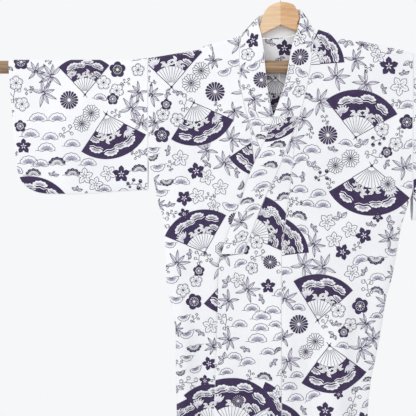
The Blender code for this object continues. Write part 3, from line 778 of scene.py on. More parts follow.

# %% [markdown]
# ## Colours
#
# Each colour is a pair, the lighter and the darker end of its cloud. The inks lie a few tenths of a
# millimetre over the cloth, in the order in which they would be printed.

# %% Colours
# The white cotton and the band carry a wide grey-blue cloud of painted soft shade
COTTON = cloth_material("white_cotton", (0.9, 0.905, 0.92), (0.82, 0.83, 0.86))
BAND_COTTON = cloth_material("band_cotton", (0.9, 0.905, 0.92), (0.83, 0.84, 0.865))
INK = cloth_material("violet_ink", (0.06, 0.04, 0.104), (0.038, 0.024, 0.068), 60.0, 0.95)
WASH = cloth_material("grey_ink", (0.6, 0.57, 0.69), (0.48, 0.45, 0.58), 90.0, 0.95)
RESERVE = cloth_material("bare_cotton", (0.88, 0.885, 0.9), (0.82, 0.83, 0.85), 30.0)
THREAD = cloth_material("sewing_thread", (0.8, 0.8, 0.83), (0.66, 0.66, 0.7), 200.0, 0.7)
HANGER_LEFT_WOOD = wood_material("peach_wood", (0.83, 0.62, 0.41), (0.69, 0.46, 0.27), 14.0,
                                 (1.0, 3.0, 9.0), 0.42)
HANGER_RIGHT_WOOD = wood_material("orange_wood", (0.76, 0.49, 0.27), (0.57, 0.32, 0.155), 14.0,
                                  (1.0, 3.0, 9.0), 0.42)
ROD_WOOD = wood_material("brown_wood", (0.52, 0.35, 0.21), (0.17, 0.105, 0.06), 20.0,
                         (0.35, 9.0, 9.0), 0.72, 0.35)
INKS = {"ink": (INK, 0.0004), "wash": (WASH, 0.00028), "bare": (RESERVE, 0.00052),
        "shade": (WASH, 0.0006), "over_bare": (INK, 0.00068)}
print(len(INKS), "layers of ink")

# %% [markdown]
# ## Metal
#
# The hook is bent from bright wire. Bare metal is nearly a mirror, but not equally smooth all over,
# so a fine noise moves its roughness up and down.

# %% Metal
def metal_material():
    material, tree, shader = new_material("hook_metal")
    place = add_node(tree, "ShaderNodeTexCoord").outputs["Object"]
    noise = add_node(tree, "ShaderNodeTexNoise", Vector=place, Scale=260.0, Detail=3.0)
    spread = add_node(tree, "ShaderNodeMapRange", Value=noise.outputs["Fac"], To_Min=0.16, To_Max=0.34)
    tree.links.new(spread.outputs["Result"], shader.inputs["Roughness"])
    shader.inputs["Base Color"].default_value = (0.66, 0.66, 0.68, 1.0)
    shader.inputs["Metallic"].default_value = 1.0
    return material


METAL = metal_material()
print(len(bpy.data.materials), "materials")

# %% [markdown]
# ## Lines of the print
#
# The cloth is printed in even lines and flat areas. An image could hold such a print, but flat shapes
# stay sharp from near by. So each motif is a list of shapes, (ink, outline), round its own middle. The
# smallest steps come first: a line of even width, a disc, an arc, a petal and a leaf.

# %% Lines of the print
LINE = 0.0013
DOT = LINE * 0.66


def ray(angle, radius, centre=(0.0, 0.0)):
    return (centre[0] + math.cos(angle) * radius, centre[1] + math.sin(angle) * radius)


def disc(centre, radius, count=12):
    return [ray(2 * math.pi * i / count, radius, centre) for i in range(count)]


def stroke(points, share=1.0, ink="ink"):
    """Line through a few points, as wide as a share of the print's usual line."""
    width = LINE * share
    shapes = []
    for (x0, y0), (x1, y1) in zip(points, points[1:]):
        length = math.hypot(x1 - x0, y1 - y0)
        if length > 1e-6:
            dx, dy = (x1 - x0) / length, (y1 - y0) / length
            nx, ny = -dy * width / 2, dx * width / 2
            ex, ey = dx * width * 0.3, dy * width * 0.3
            shapes.append((ink, [(x0 - ex + nx, y0 - ey + ny), (x0 - ex - nx, y0 - ey - ny),
                                 (x1 + ex - nx, y1 + ey - ny), (x1 + ex + nx, y1 + ey + ny)]))
    return shapes


def loop(points, share=1.0, ink="ink"):
    return stroke(points + points[:1], share, ink)


def arc(centre, radius, start, end, count=8):
    return [ray(start + (end - start) * i / count, radius, centre) for i in range(count + 1)]


def petal(angle, start, end, half_width, count=5):
    """Petal with a round tip, from near the middle outwards."""
    left, right = [], []
    for i in range(count + 1):
        t = i / count
        wide = half_width * (0.35 + 0.65 * math.sin(min(1.0, t * 1.25) * math.pi / 2))
        if t > 0.8:
            wide *= math.sqrt(max(0.0, 1.0 - ((t - 0.8) / 0.2) ** 2))
        along = start + (end - start) * t
        x, y = ray(angle, along)
        nx, ny = -math.sin(angle) * wide, math.cos(angle) * wide
        left.append((x + nx, y + ny))
        right.append((x - nx, y - ny))
    return left[:-1] + [ray(angle, end)] + right[-2::-1]


def leaf(base, angle, length, half_width, count=5, sides=2):
    """Pointed leaf from its base: both halves, or only the left one."""
    left, right = [], []
    for i in range(1, count):
        t = i / count
        wide = half_width * math.sin(math.pi * t ** 0.8) ** 0.9
        x, y = ray(angle, length * t, base)
        left.append((x - math.sin(angle) * wide, y + math.cos(angle) * wide))
        right.append((x + math.sin(angle) * wide, y - math.cos(angle) * wide))
    tip = ray(angle, length, base)
    return [base] + left + [tip] + (right[::-1] if sides == 2 else [])


def drawn_leaf(base, angle, length, half_width, dark=False):
    """Leaf in outline with its rib and a shaded half, or a solid one with a bare rib."""
    tip = ray(angle, length * 0.9, base)
    outline = leaf(base, angle, length, half_width)
    if dark:
        return [("ink", outline)] + stroke([base, tip], 0.5, "bare")
    half = leaf(base, angle, length, half_width * 0.8, 4, sides=1)
    return [("wash", half)] + loop(outline, 0.72) + stroke([base, tip], 0.5)

# %% [markdown]
# ## Flowers
#
# Chrysanthemum, plum and bellflower are mostly drawn in line, and a few are solid for contrast. All
# the petals of a flower are alike, so one is described and a loop turns it round the middle.

# %% Flowers
# Edge of a solid petal: turn from its middle line, reach
WEDGE = ((-0.09, 0.17), (-0.152, 0.9), (-0.08, 1.0), (0.08, 1.0), (0.152, 0.9), (0.09, 0.17))
# Edge of a pointed petal: turn from its middle line, reach
STAR = ((-0.628, 0.5), (-0.42, 0.78), (-0.16, 0.92), (0.0, 1.04), (0.16, 0.92), (0.42, 0.78))


def chrysanthemum(radius, dark):
    """Round flower of narrow petals, solid ones or outlines round a dark eye."""
    shapes = []
    if dark:
        for i in range(17):
            angle = 2 * math.pi * i / 17
            shapes.append(("ink", [ray(angle + turn, radius * reach) for turn, reach in WEDGE]))
        return shapes
    for i in range(16):
        angle = 2 * math.pi * i / 16
        end = radius * (1.0 if i % 2 else 0.93)
        shapes += loop(petal(angle, radius * 0.26, end, radius * 0.15), 0.68)
        shapes += stroke([ray(angle + 0.2, radius * 0.08), ray(angle + 0.2, radius * 0.24)], 0.5)
    shapes.append(("ink", disc((0, 0), radius * 0.11, 9)))
    return shapes


def plum(radius, dark):
    """Five round petals with stamens round the eye."""
    shapes = []
    for i in range(5):
        angle = math.pi / 2 + 2 * math.pi * i / 5
        centre = ray(angle, radius * 0.55)
        if dark:
            shapes.append(("ink", disc(centre, radius * 0.44)))
        else:
            shapes += stroke(arc(centre, radius * 0.42, angle - 1.75, angle + 1.75), 0.85)
            shapes += stroke(arc(centre, radius * 0.27, angle - 0.9, angle + 0.9, 5), 0.45)
    ink = "bare" if dark else "ink"
    if dark:
        shapes.append(("ink", disc((0, 0), radius * 0.45)))
        shapes += loop(disc((0, 0), radius * 0.52, 16), 0.6, "bare")
    for i in range(10):
        angle = 2 * math.pi * (i + 0.3) / 10
        reach = radius * (0.4 if dark else 0.46)
        shapes += stroke([ray(angle, radius * 0.16), ray(angle, reach * 0.86)], 0.45, ink)
        shapes.append((ink, disc(ray(angle, reach), DOT, 6)))
    shapes.append((ink, disc((0, 0), radius * 0.14, 9)))
    return shapes


def bellflower(radius, dark):
    """Star of five pointed petals with fine veins."""
    outline = []
    for i in range(5):
        angle = math.pi / 2 + 2 * math.pi * i / 5
        for turn, reach in STAR:
            outline.append(ray(angle + turn, radius * reach))
    shapes = [("ink", outline)] if dark else loop(outline, 0.85)
    for i in range(5):
        angle = math.pi / 2 + 2 * math.pi * i / 5
        if dark:
            shapes.append(("bare", leaf(ray(angle, radius * 0.06), angle, radius * 0.34, radius * 0.052, 5)))
        else:
            shapes += stroke([ray(angle, radius * 0.12), ray(angle, radius * 0.66)], 0.5)
            shapes += stroke([ray(angle + 0.5, radius * 0.14), ray(angle + 0.4, radius * 0.34)], 0.9)
    return shapes

# %% [markdown]
# ## Bamboo, leaves, pine and twigs
#
# Sprays fill the ground between the flowers: bamboo, broad leaves with veins, pine boughs as
# scalloped domes of needles, and budding twigs. Grown leaves differ in length and direction, so they
# are listed one by one.

# %% Bamboo, leaves, pine and twigs
# Leaves of a bamboo spray: direction in radians, length
BAMBOO_LEAVES = ((1.66, 0.96), (1.00, 1.05), (0.3, 0.86), (-0.42, 1.06), (-1.12, 0.84), (-1.8, 1.02),
                 (2.86, 0.92))


def bamboo(radius, dark):
    """Spray of long pointed leaves round a joint of the stem."""
    shapes = []
    for angle, length in BAMBOO_LEAVES:
        base = ray(angle, radius * 0.07)
        shapes += drawn_leaf(base, angle, radius * (length - 0.07), radius * 0.115, dark)
    return shapes + stroke([ray(2.25, radius * 0.4), (0.0, 0.0)], 0.8)


def leafage(radius, dark):
    """Three broad leaves with side veins, as they stand round a flower."""
    shapes = []
    for angle, length in ((0.45, 1.0), (1.6, 0.84), (2.75, 0.95)):
        base = ray(angle, radius * 0.1)
        shapes += drawn_leaf(base, angle, radius * (length - 0.1), radius * 0.24, dark)
        for share in (0.35, 0.58):
            for turn in (-0.7, 0.7):
                root = ray(angle, radius * length * share, base)
                vein = [root, ray(angle + turn, radius * 0.16, root)]
                shapes += stroke(vein, 0.42, "bare" if dark else "ink")
    return moved(shapes, 0.0, -radius * 0.3)


PINE_RISE = 0.84


def dome(radius, lobes, swell):
    """Line over a bough, from its right end to its left end, in soft lobes."""
    points = []
    steps = lobes * 4
    for i in range(steps + 1):
        angle = 0.04 + (math.pi - 0.08) * i / steps
        reach = radius * (1.0 - swell + swell * abs(math.sin(math.pi * lobes * i / steps)))
        points.append((math.cos(angle) * reach, math.sin(angle) * reach * PINE_RISE))
    return points


def pine(radius, dark):
    """Bough of pine needles: a scalloped dome over a brush of rays, some with a solid rim."""
    foot = [(-radius * 0.5, -radius * 0.12), (0.0, radius * 0.03), (radius * 0.5, -radius * 0.12)]
    shapes = []
    inner = [(x * 0.62, y * 0.6) for x, y in dome(radius, 4, 0.0)]
    if dark:
        shapes.append(("ink", dome(radius, 5, 0.12) + inner[::-1]))
    else:
        shapes += stroke(dome(radius, 5, 0.08), 0.8)
        shapes.append(("wash", [(x * 1.1, y * 0.95) for x, y in inner] + [foot[1]]))
    shapes += stroke([(-radius * 1.25, -radius * 0.04), (-radius, 0.0)] + foot + [(radius, 0.0)], 0.7)
    for i in range(11):
        angle = 0.16 + (math.pi - 0.32) * i / 10
        x, y = ray(angle, radius)
        reach = 0.56 if dark else 0.58 + 0.14 * (i % 2)
        shapes += stroke([(x * 0.12, y * 0.12), (x * reach, y * reach * PINE_RISE)], 0.4)
        if dark:
            shapes += stroke([(x * 0.66, y * 0.66 * PINE_RISE), (x * 0.82, y * 0.82 * PINE_RISE)],
                             0.35, "bare")
    return moved(shapes, 0.0, -radius * 0.34)


def twig(radius, dark):
    """Nearly straight twig with round buds, open or solid."""
    points = [(-radius, -radius * 0.16), (-radius * 0.3, radius * 0.02), (radius * 0.3, -radius * 0.02),
              (radius, radius * 0.2)]
    shapes = stroke(points, 0.85)
    shapes += stroke([points[1], (-radius * 0.12, radius * 0.34)], 0.7)
    shapes += stroke([points[2], (radius * 0.44, -radius * 0.3)], 0.7)
    for place, size in (((-radius * 0.78, radius * 0.1), 0.19), ((-radius * 0.06, radius * 0.52), 0.2),
                        ((radius * 0.78, radius * 0.38), 0.22), ((radius * 0.5, -radius * 0.48), 0.21),
                        ((-radius * 0.55, -radius * 0.32), 0.15)):
        bud = disc(place, radius * size, 8)
        if dark:
            shapes.append(("ink", bud))
        shapes += loop(bud, 0.72)
        cup = arc(place, radius * size * 0.5, 0.4, 2.4, 4)
        shapes += stroke(cup, 0.5, "bare" if dark else "ink")
    return shapes


def moved(shapes, x, y, turn=0.0):
    cos, sin = math.cos(turn), math.sin(turn)
    return [(ink, [(x + u * cos - v * sin, y + u * sin + v * cos) for u, v in outline])
            for ink, outline in shapes]

# %% [markdown]
# ## Fans
#
# The largest ornament is an open fan with ribs and a solid leaf. A dyer leaves smaller motifs bare on
# the leaf by covering them with paste. Here they lie over it in the colour of the cloth, and are cut
# at its edges when the fan is laid.

# %% Fans
def bare_pine(radius):
    """Bough left bare on the solid leaf of a fan, with a bare line under it."""
    outline = [(x, y * 0.74) for x, y in dome(radius, 5, 0.14)]
    shapes = [("bare", outline + [(-radius * 0.55, -radius * 0.12), (0.0, 0.0),
                                  (radius * 0.55, -radius * 0.12)]),
              ("shade", [(x * 0.5, y * 0.5) for x, y in outline])]
    for i in range(11):
        angle = 0.22 + (math.pi - 0.44) * i / 10
        x, y = ray(angle, radius)
        shapes += stroke([(x * 0.25, y * 0.16), (x * 0.72, y * 0.44)], 0.5, "over_bare")
    under = [(-radius * 0.95, -radius * 0.16), (-radius * 0.5, -radius * 0.34), (0.0, -radius * 0.22),
             (radius * 0.5, -radius * 0.34), (radius * 0.95, -radius * 0.16)]
    return shapes + stroke(under, 1.2, "bare")


def bare_bloom(radius):
    """Half chrysanthemum in bare line and shade on the leaf of a fan."""
    shapes = []
    for i in range(9):
        angle = math.pi * (i + 0.5) / 9
        start = ray(angle, radius * 0.12)
        shapes.append(("bare", leaf(start, angle, radius * 0.88, radius * 0.12, 5)))
        shapes += stroke([start, ray(angle, radius * 0.8)], 0.9, "shade")
    return shapes


def bare_bamboo(radius):
    shapes = []
    for angle, length in ((-0.35, 0.85), (0.35, 1.0), (1.05, 0.9), (1.75, 1.0), (2.45, 0.95), (3.2, 0.9)):
        base = ray(angle, radius * 0.1)
        shapes.append(("bare", leaf(base, angle, radius * length, radius * 0.19)))
        shapes += stroke([base, ray(angle, radius * length * 0.85)], 0.45, "over_bare")
    return shapes


# Ornaments on a fan's leaf: share of its opening, share of its radius, kind, size, turn
FAN_ORNAMENTS = (
    (0.18, 0.8, "pine", 0.16, 0.05), (0.43, 0.83, "pine", 0.175, 0.1), (0.77, 0.78, "pine", 0.175, 0.1),
    (0.6, 0.76, "pine", 0.14, -0.1), (0.09, 0.61, "pine", 0.13, 0.0), (0.9, 0.56, "bloom", 0.2, 0.2),
    (0.32, 0.58, "bamboo", 0.15, 2.9), (0.6, 0.53, "bamboo", 0.14, 3.3), (0.2, 0.52, "bamboo", 0.1, 3.0),
)
BARE_MOTIFS = {"pine": bare_pine, "bamboo": bare_bamboo, "bloom": bare_bloom}
FAN_INNER = 0.44


def fan(radius, start, end):
    """Open folding fan: ribs from the pivot and a solid leaf."""
    shapes = []
    inner = radius * FAN_INNER
    ribs = max(4, round((end - start) / math.radians(10.0)))
    outer_line = arc((0.0, 0.0), radius, start, end, ribs * 2)
    inner_line = arc((0.0, 0.0), inner, start, end, ribs * 2)
    for i in range(ribs * 2):
        shapes.append(("ink", [outer_line[i], outer_line[i + 1], inner_line[i + 1], inner_line[i]]))
    for i in range(ribs + 1):
        angle = start + (end - start) * i / ribs
        edge, root = (1.2, 0.03) if i in (0, ribs) else (0.6, 0.1)
        shapes += stroke([ray(angle, radius * root), ray(angle, inner)], edge)
    shapes.append(("ink", disc((0.0, 0.0), radius * 0.03, 8)))
    middle = (start + end) / 2
    return shapes + stroke([ray(middle + 2.5, radius * 0.07), (0.0, 0.0), ray(middle + 3.7, radius * 0.09)])


def fan_ornaments(radius, start, end):
    """Bare ornaments for the leaf of a fan, not yet cut at its edges."""
    shapes = []
    for share, out, kind, size, turn in FAN_ORNAMENTS:
        angle = start + (end - start) * share
        x, y = ray(angle, radius * out)
        shapes += moved(BARE_MOTIFS[kind](radius * size), x, y, angle - math.pi / 2 + turn)
    return shapes


MOTIFS = {"chrysanthemum": chrysanthemum, "plum": plum, "bellflower": bellflower, "bamboo": bamboo,
          "pine": pine, "twig": twig, "leafage": leafage}
for name, draw_motif in MOTIFS.items():
    print(name, "is drawn with", len(draw_motif(0.02, False)), "shapes")

# %% [markdown]
# ## Where the motifs sit
#
# Motifs could be thrown at random, but then the fans wouldn't sit where this robe has them. So they
# were charted from the front, as places in the photograph's pixels from its top left, which
# the scale of the part turns into metres. A later step repeats the chart where nothing is seen.

# %% Where the motifs sit
METRES_PER_PIXEL = 0.00245
PICTURE = 416
HOOK_COLUMN = 280.5
HOOK_ROW = -24.3
REPEAT = 185.0


def across_at(column):
    return (column - HOOK_COLUMN) * METRES_PER_PIXEL


def height_at(row):
    return (HOOK_ROW - row) * METRES_PER_PIXEL


# Fans: column, row, radius, first angle, last angle
RIGHT_FANS = (
    (355.9, 137.2, 47.5, 29, 129), (371.8, 165.8, 50, -149, -40), (317.6, 320.0, 46, 40, 122),
    (328.9, 344.8, 47, -126, -36), (301.0, 65.5, 43.5, 4, 64), (266.0, 257.0, 43, 6, 72),
)
OVER_LAP_FANS = ((249.7, 236.5, 43, -24, 69), (231.0, 427.0, 50, 28, 128), (262.0, 462.0, 46, -148, -40))
LEFT_FANS = (
    (171.5, 87.0, 47, 49, 137), (193.8, 102.7, 43, -122, -23), (204.7, 252.4, 43, 60, 158),
    (268.0, 131.0, 47, -146, -70), (236.0, 268.0, 48, -132, -60), (212.0, 427.0, 43, 50, 131),
)
SLEEVE_FANS = ((85.0, 94.5, 38, 50, 134), (106.0, 114.0, 45, -124, -27), (28.0, 223.0, 47, 34, 126))

# Flowers and sprays by kind: column, row, radius, turn in degrees
RIGHT_SPOTS = {
    "dark chrysanthemum": ((328, 135, 9.6, 10), (298.6, 324, 9.5, 0)),
    "chrysanthemum": (
        (350.6, 158.5, 9.5, 0), (335.6, 165.6, 8.5, 20), (315.2, 341.4, 9, 0), (305.7, 351.8, 7.5, 15),
        (388, 184, 8, 0)),
    "dark plum": ((407, 122, 8, 0), (360.4, 306.2, 8.8, 15), (387, 152, 6, 30), (343, 331.5, 6, 0)),
    "plum": ((382, 129, 7.6, 10), (396, 144, 7.4, 40), (337.6, 309.9, 7.8, 0), (350, 324.8, 7.5, 30)),
    "dark bellflower": (
        (388.8, 66.2, 9.5, 0), (364, 235.5, 8.4, 20), (342.5, 252, 8.2, 50), (324.7, 409.4, 8.4, 0),
        (378, 217, 5.5, 180), (337.6, 393, 5.0, 170)),
    "bellflower": (
        (399.9, 86.2, 9.5, 30), (378.4, 55.9, 7.5, 0), (373, 44.8, 6, 30), (350, 230, 8, 10),
        (327, 222, 8.2, 40), (334, 240, 8, 0), (352, 273, 8, 30)),
    "twig": (
        (396, 133, 12, 60), (349, 314, 11, 80), (326, 322, 7, 60), (368, 288, 9, 100), (314, 83, 8, 120)),
    "dark twig": ((378, 140, 8, 200), (322, 176, 8, 20)),
    "bamboo": (
        (319.2, 101.7, 14, 0), (304, 119, 14, 150), (335.5, 77.3, 14, 30), (366.6, 83.3, 14, 200),
        (354.7, 60.3, 12, 0), (405, 168, 14, 90), (303, 266, 14, 20), (324, 267, 14, 170),
        (318, 225, 11, 60), (313, 245, 12, 20), (360.4, 349.7, 14, 0), (374.5, 339.7, 12, 120),
        (362, 362, 10, 60), (390, 239, 12, 100), (362.9, 44.8, 8, 60)),
    "leafage": (
        (360, 232, 11, 200), (377, 226, 12, 180), (398, 93, 12, 230), (386, 75, 11, 150),
        (340, 216, 9, 20), (345, 262, 9, 120), (352, 282, 10, 190), (337, 399, 10, 190), (298, 313, 8, 20),
        (348, 171, 8, 200), (322, 144, 8, 120)),
    "pine": (
        (312, 149, 9, 0), (300, 158, 9, 20), (300, 189, 8, 0), (318, 193, 8, 10), (323, 204, 8, 0),
        (303, 229, 7, 330), (352, 196, 8, 30), (384, 98, 8, 0), (308, 37, 9, 180), (338.5, 44, 8, 310),
        (304, 82, 8, 20), (296, 290, 9, 0), (329, 290, 7, 0), (393, 252, 8, 180), (378, 277, 8, 0),
        (392, 205, 8, 340), (330, 384, 7, 0), (289, 385.4, 8, 0), (295.7, 397, 8, 0), (312, 395, 8, 30),
        (377, 315.7, 6, 0), (368.7, 388, 6, 0), (279, 206, 7, 0), (294, 248, 6, 0)),
    "dark pine": (
        (303.5, 195.6, 7.5, 0), (300, 215, 8, 340), (306, 96, 7, 0), (376, 260.5, 9, 180),
        (378, 290, 7, 340), (299, 180, 6, 340), (344, 396, 7, 20), (368.7, 379.6, 5.5, 0)),
}
print(sum(map(len, RIGHT_SPOTS.values())), "motifs on the right front")

# %% [markdown]
# The upper overlap panel has a chart of its own, since it was cut from another stretch of the cloth.

# %% Chart of the upper overlap
OVER_LAP_SPOTS = {
    "dark chrysanthemum": ((238, 400, 6, 0), (270, 262, 7, 0)),
    "plum": ((256.7, 242, 7.2, 0), (252, 268, 6.5, 20)),
    "dark plum": ((244, 249, 6, 0),),
    "dark bellflower": ((268, 286, 7.5, 0),),
    "bellflower": ((238, 280, 7.6, 20), (277, 392, 7.6, 0), (271, 212, 7, 10)),
    "pine": (
        (251.8, 307.2, 8, 0), (272.7, 309.6, 8, 0), (261.5, 315.3, 9.5, 0), (239.8, 323.3, 7.5, 0),
        (260.7, 327, 8, 0), (257.4, 337.8, 9.5, 0), (280.8, 336, 8, 10), (235, 355.5, 7.5, 350),
        (247, 361, 8, 10), (268, 351, 7, 0), (251, 378, 7, 10), (248, 211, 8, 20), (288, 160, 8, 340),
        (266, 225, 7, 0), (284, 371, 7, 10)),
    "dark pine": (
        (248.6, 331.7, 7.5, 10), (239, 367.5, 8.5, 350), (266.3, 358.4, 7.5, 10), (264.7, 375.6, 8, 350),
        (277.5, 349, 4.5, 30), (287, 177, 8, 0), (284, 196, 8, 10)),
    "bamboo": ((229.3, 338.6, 11, 200), (247, 290, 13, 30), (229, 300, 11, 200), (276, 232, 9, 0)),
    "twig": ((258, 256, 8, 20), (226, 322, 8, 80), (262, 345, 6, 80), (243, 270, 7, 60)),
    "leafage": ((222, 358, 8, 60), (272, 295, 9, 180), (226, 282, 8, 60)),
}

# %% [markdown]
# The left front shows a narrow strip only, but its chart is used for the under panel and the back too.

# %% Chart of the left front
LEFT_SPOTS = {
    "dark chrysanthemum": ((215, 91.7, 9.8, 0), (235.5, 220, 7.4, 0)),
    "chrysanthemum": (
        (191.2, 83.2, 9.8, 0), (201.1, 70.8, 9.2, 10), (237, 231.5, 6.5, 0), (222, 249, 7.2, 0)),
    "dark plum": (
        (161.9, 135, 8.2, 0), (194, 301.6, 8.4, 20), (166.3, 104.5, 5.8, 0), (198.8, 270.8, 6, 0),
        (228, 251, 5, 40)),
    "plum": ((163, 114, 6.9, 0), (177.3, 119.6, 7.3, 30), (196, 281, 6.6, 0), (183, 290, 7, 40)),
    "dark bellflower": (
        (196.2, 171, 8.6, 10), (184.1, 198.2, 8, 40), (209.2, 363.5, 7, 20), (184, 214, 6, 20),
        (205, 381, 6, 0)),
    "bellflower": (
        (180.2, 158.4, 8.2, 0), (197, 196, 8, 20), (220.4, 187.5, 8, 0), (206.9, 177.2, 7.8, 50),
        (213.8, 206, 6.4, 0), (210.8, 325.7, 8, 0)),
    "twig": (
        (169, 110, 12, 85), (185.5, 103, 9, 75), (199, 258, 7, 90), (189, 311, 6, 70), (165, 145, 6, 90)),
    "bamboo": (
        (151, 95.4, 12, 30), (244, 92.4, 14, 20), (231, 114, 12, 200), (231, 139.4, 13, 20),
        (207.4, 149.6, 12, 180), (224.2, 164, 13, 40), (225.2, 182, 11, 160), (250, 74, 12, 200),
        (177, 263.5, 13, 30), (155, 122, 10, 200), (176, 330, 9, 0), (214, 346, 10, 150),
        (214, 60, 9, 200), (158, 205, 8, 60)),
    "leafage": (
        (207, 82, 9, 60), (216, 101, 10, 200), (224, 92, 8, 300), (192, 164, 10, 120), (172, 160, 9, 100),
        (190, 202, 10, 150), (206, 200, 8, 40), (202, 214, 8, 190), (184, 218, 10, 60), (205, 355, 10, 40),
        (203, 332, 9, 160), (193, 385, 10, 60), (242, 222, 8, 300), (196, 76, 7, 120)),
    "pine": (
        (225, 72.6, 7, 200), (235, 63, 7, 190), (158, 168, 7.5, 190), (161, 193, 7, 180),
        (153, 150, 6, 180), (230, 207, 8, 170), (247.6, 211.4, 8, 160), (227, 199, 7, 180),
        (187.5, 334.6, 7, 200), (186.7, 358, 6, 180), (170, 245, 6, 180), (176, 300, 7, 180),
        (196, 370, 6, 200), (184, 318, 6, 190), (246, 142, 7, 180), (172, 280, 7, 190)),
    "dark pine": (
        (166.9, 182.7, 7.2, 185), (185, 324, 6, 210), (194.3, 348.6, 7.8, 190), (153, 158, 6, 200),
        (241.7, 186, 5, 240), (181, 373, 5, 200), (173, 229, 5, 180)),
}

print(sum(map(len, LEFT_SPOTS.values())), "motifs on the left front")

# %% [markdown]
# Sleeves, the inside of the neck and the collar come last. On the collar a place is a distance along
# the band and across it, in metres.

# %% Charts of the sleeves and the collar
SLEEVE_SPOTS = {
    "dark chrysanthemum": ((69, 100, 9.2, 0),),
    "chrysanthemum": ((91, 113, 8.8, 0), (81.5, 123.5, 8.6, 20)),
    "dark plum": ((117.5, 69.6, 8.4, 0), (21, 62, 8.2, 0), (112.7, 98.8, 6.2, 0), (20, 126, 6.2, 0)),
    "plum": (
        (103.5, 82.5, 7.4, 0), (116.7, 90.5, 7.4, 30), (16, 83, 7.4, 0), (22, 104, 7.4, 40),
        (138, 70, 6.6, 0)),
    "dark bellflower": ((121, 174, 8.6, 0), (23, 146, 7.6, 0)),
    "bellflower": ((84, 176, 8.2, 0), (108, 173, 8, 30), (95, 184, 7.4, 60)),
    "twig": ((122, 80, 10, 60), (14, 94, 9, 80), (66, 132, 8, 30)),
    "dark twig": ((134, 184, 8, 0),),
    "bamboo": (
        (43, 93, 14, 0), (52, 76, 14, 150), (131, 109, 14, 30), (139, 92, 11, 200), (141, 124, 12, 60),
        (36, 72, 11, 60)),
    "leafage": (
        (62, 110, 9, 60), (78, 95, 9, 200), (100, 118, 8, 320), (114, 181, 9, 200), (92, 170, 8, 40),
        (126, 165, 8, 20)),
    "pine": (
        (38, 117, 9, 0), (57, 117, 9, 0), (46, 125, 9, 0), (30, 133, 9, 0), (50, 136, 8, 0),
        (46, 147, 9, 0), (28, 160, 9, 0), (71, 157, 9, 0), (40, 163, 8, 0), (132, 152, 8, 20),
        (128, 136, 8, 0), (72, 143, 8, 0), (88, 162, 8, 0), (104, 188, 7, 0)),
    "dark pine": (
        (38.5, 140, 8, 0), (56.5, 161, 9, 0), (32.5, 172, 8, 0), (72, 172, 8, 0), (139, 168, 8, 0)),
}
# Inside of the back, seen through the neck
INSIDE_FANS = ((276.5, 76.0, 36, -142, -40),)
INSIDE_SPOTS = {
    "dark bellflower": ((285.5, 46, 8.6, 0),),
    "leafage": ((271, 40, 7, 330), (281, 57, 6, 200)),
    "dark pine": ((269, 76, 4.5, 0),),
    "dark bamboo": ((283, 80, 6, 20),),
}
# The collar's bands: distance along, distance across, radius (metres), turn
COVER_SPOTS = {
    "dark chrysanthemum": ((0.15, 0.028, 0.021, 0), (0.548, 0.052, 0.02, 0)),
    "chrysanthemum": ((0.372, 0.028, 0.02, 0),),
    "dark plum": ((0.262, 0.036, 0.018, 0),),
    "plum": ((0.065, 0.016, 0.016, 20), (0.485, 0.02, 0.017, 0)),
    "dark bellflower": ((0.452, 0.034, 0.018, 20),),
    "bellflower": ((0.195, 0.036, 0.018, 0), (0.119, 0.052, 0.016, 0)),
    "bamboo": (
        (0.02, 0.03, 0.03, 120), (0.225, 0.018, 0.026, 40), (0.412, 0.022, 0.026, 200),
        (0.595, 0.024, 0.028, 20)),
    "pine": ((0.11, 0.02, 0.018, 60), (0.515, 0.036, 0.018, 300)),
    "dark pine": ((0.3, 0.022, 0.018, 90),),
    "twig": ((0.088, 0.038, 0.02, 90), (0.335, 0.034, 0.022, 0), (0.57, 0.016, 0.016, 60)),
}
OVER_BAND_SPOTS = {
    "dark pine": ((0.29, 0.024, 0.02, 270), (0.236, 0.022, 0.019, 262), (0.14, 0.04, 0.018, 280)),
    "pine": (
        (0.264, 0.042, 0.017, 285), (0.212, 0.042, 0.018, 290), (0.18, 0.02, 0.019, 290),
        (0.122, 0.018, 0.018, 285)),
    "plum": ((0.046, 0.02, 0.016, 0),),
    "bamboo": ((0.085, 0.032, 0.03, 60),),
    "twig": ((0.028, 0.044, 0.018, 90), (0.158, 0.016, 0.014, 30)),
}
UNDER_BAND_SPOTS = {
    "dark pine": ((0.05, 0.014, 0.015, 80), (0.15, 0.03, 0.018, 90)),
    "pine": (
        (0.013, 0.015, 0.019, 90), (0.026, 0.038, 0.018, 100), (0.11, 0.03, 0.018, 90),
        (0.2, 0.03, 0.018, 90)),
    "bamboo": ((0.08, 0.04, 0.028, 60), (0.26, 0.032, 0.028, 200)),
    "twig": ((0.3, 0.03, 0.018, 30),),
}


print(sum(map(len, SLEEVE_SPOTS.values())), "motifs on a sleeve")

# %% [markdown]
# ## Cutting the flat shapes
#
# A flat shape follows a fold only if it has points enough, so it is split until no edge is longer than
# a limit. Then it is cut where the cloth ends or where another motif lies in front.

# %% Cutting the flat shapes
EDGE_LIMIT = 0.0063


def shrink_triangle(triangle, limit):
    """Split a flat triangle until no edge is longer than the limit."""
    done = []
    waiting = [triangle]
    while waiting:
        a, b, c = waiting.pop()
        ab = (a[0] - b[0]) ** 2 + (a[1] - b[1]) ** 2
        bc = (b[0] - c[0]) ** 2 + (b[1] - c[1]) ** 2
        ca = (c[0] - a[0]) ** 2 + (c[1] - a[1]) ** 2
        longest = max(ab, bc, ca)
        if longest <= limit * limit:
            done.append((a, b, c))
            continue
        if longest == bc:
            a, b, c = b, c, a
        elif longest == ca:
            a, b, c = c, a, b
        middle = ((a[0] + b[0]) / 2, (a[1] + b[1]) / 2)
        waiting.append((a, middle, c))
        waiting.append((middle, b, c))
    return done


corner = ((0.0, 0.0), (0.02, 0.0), (0.0, 0.02))
print("a corner of 20 mm is split into", len(shrink_triangle(corner, EDGE_LIMIT)), "triangles")


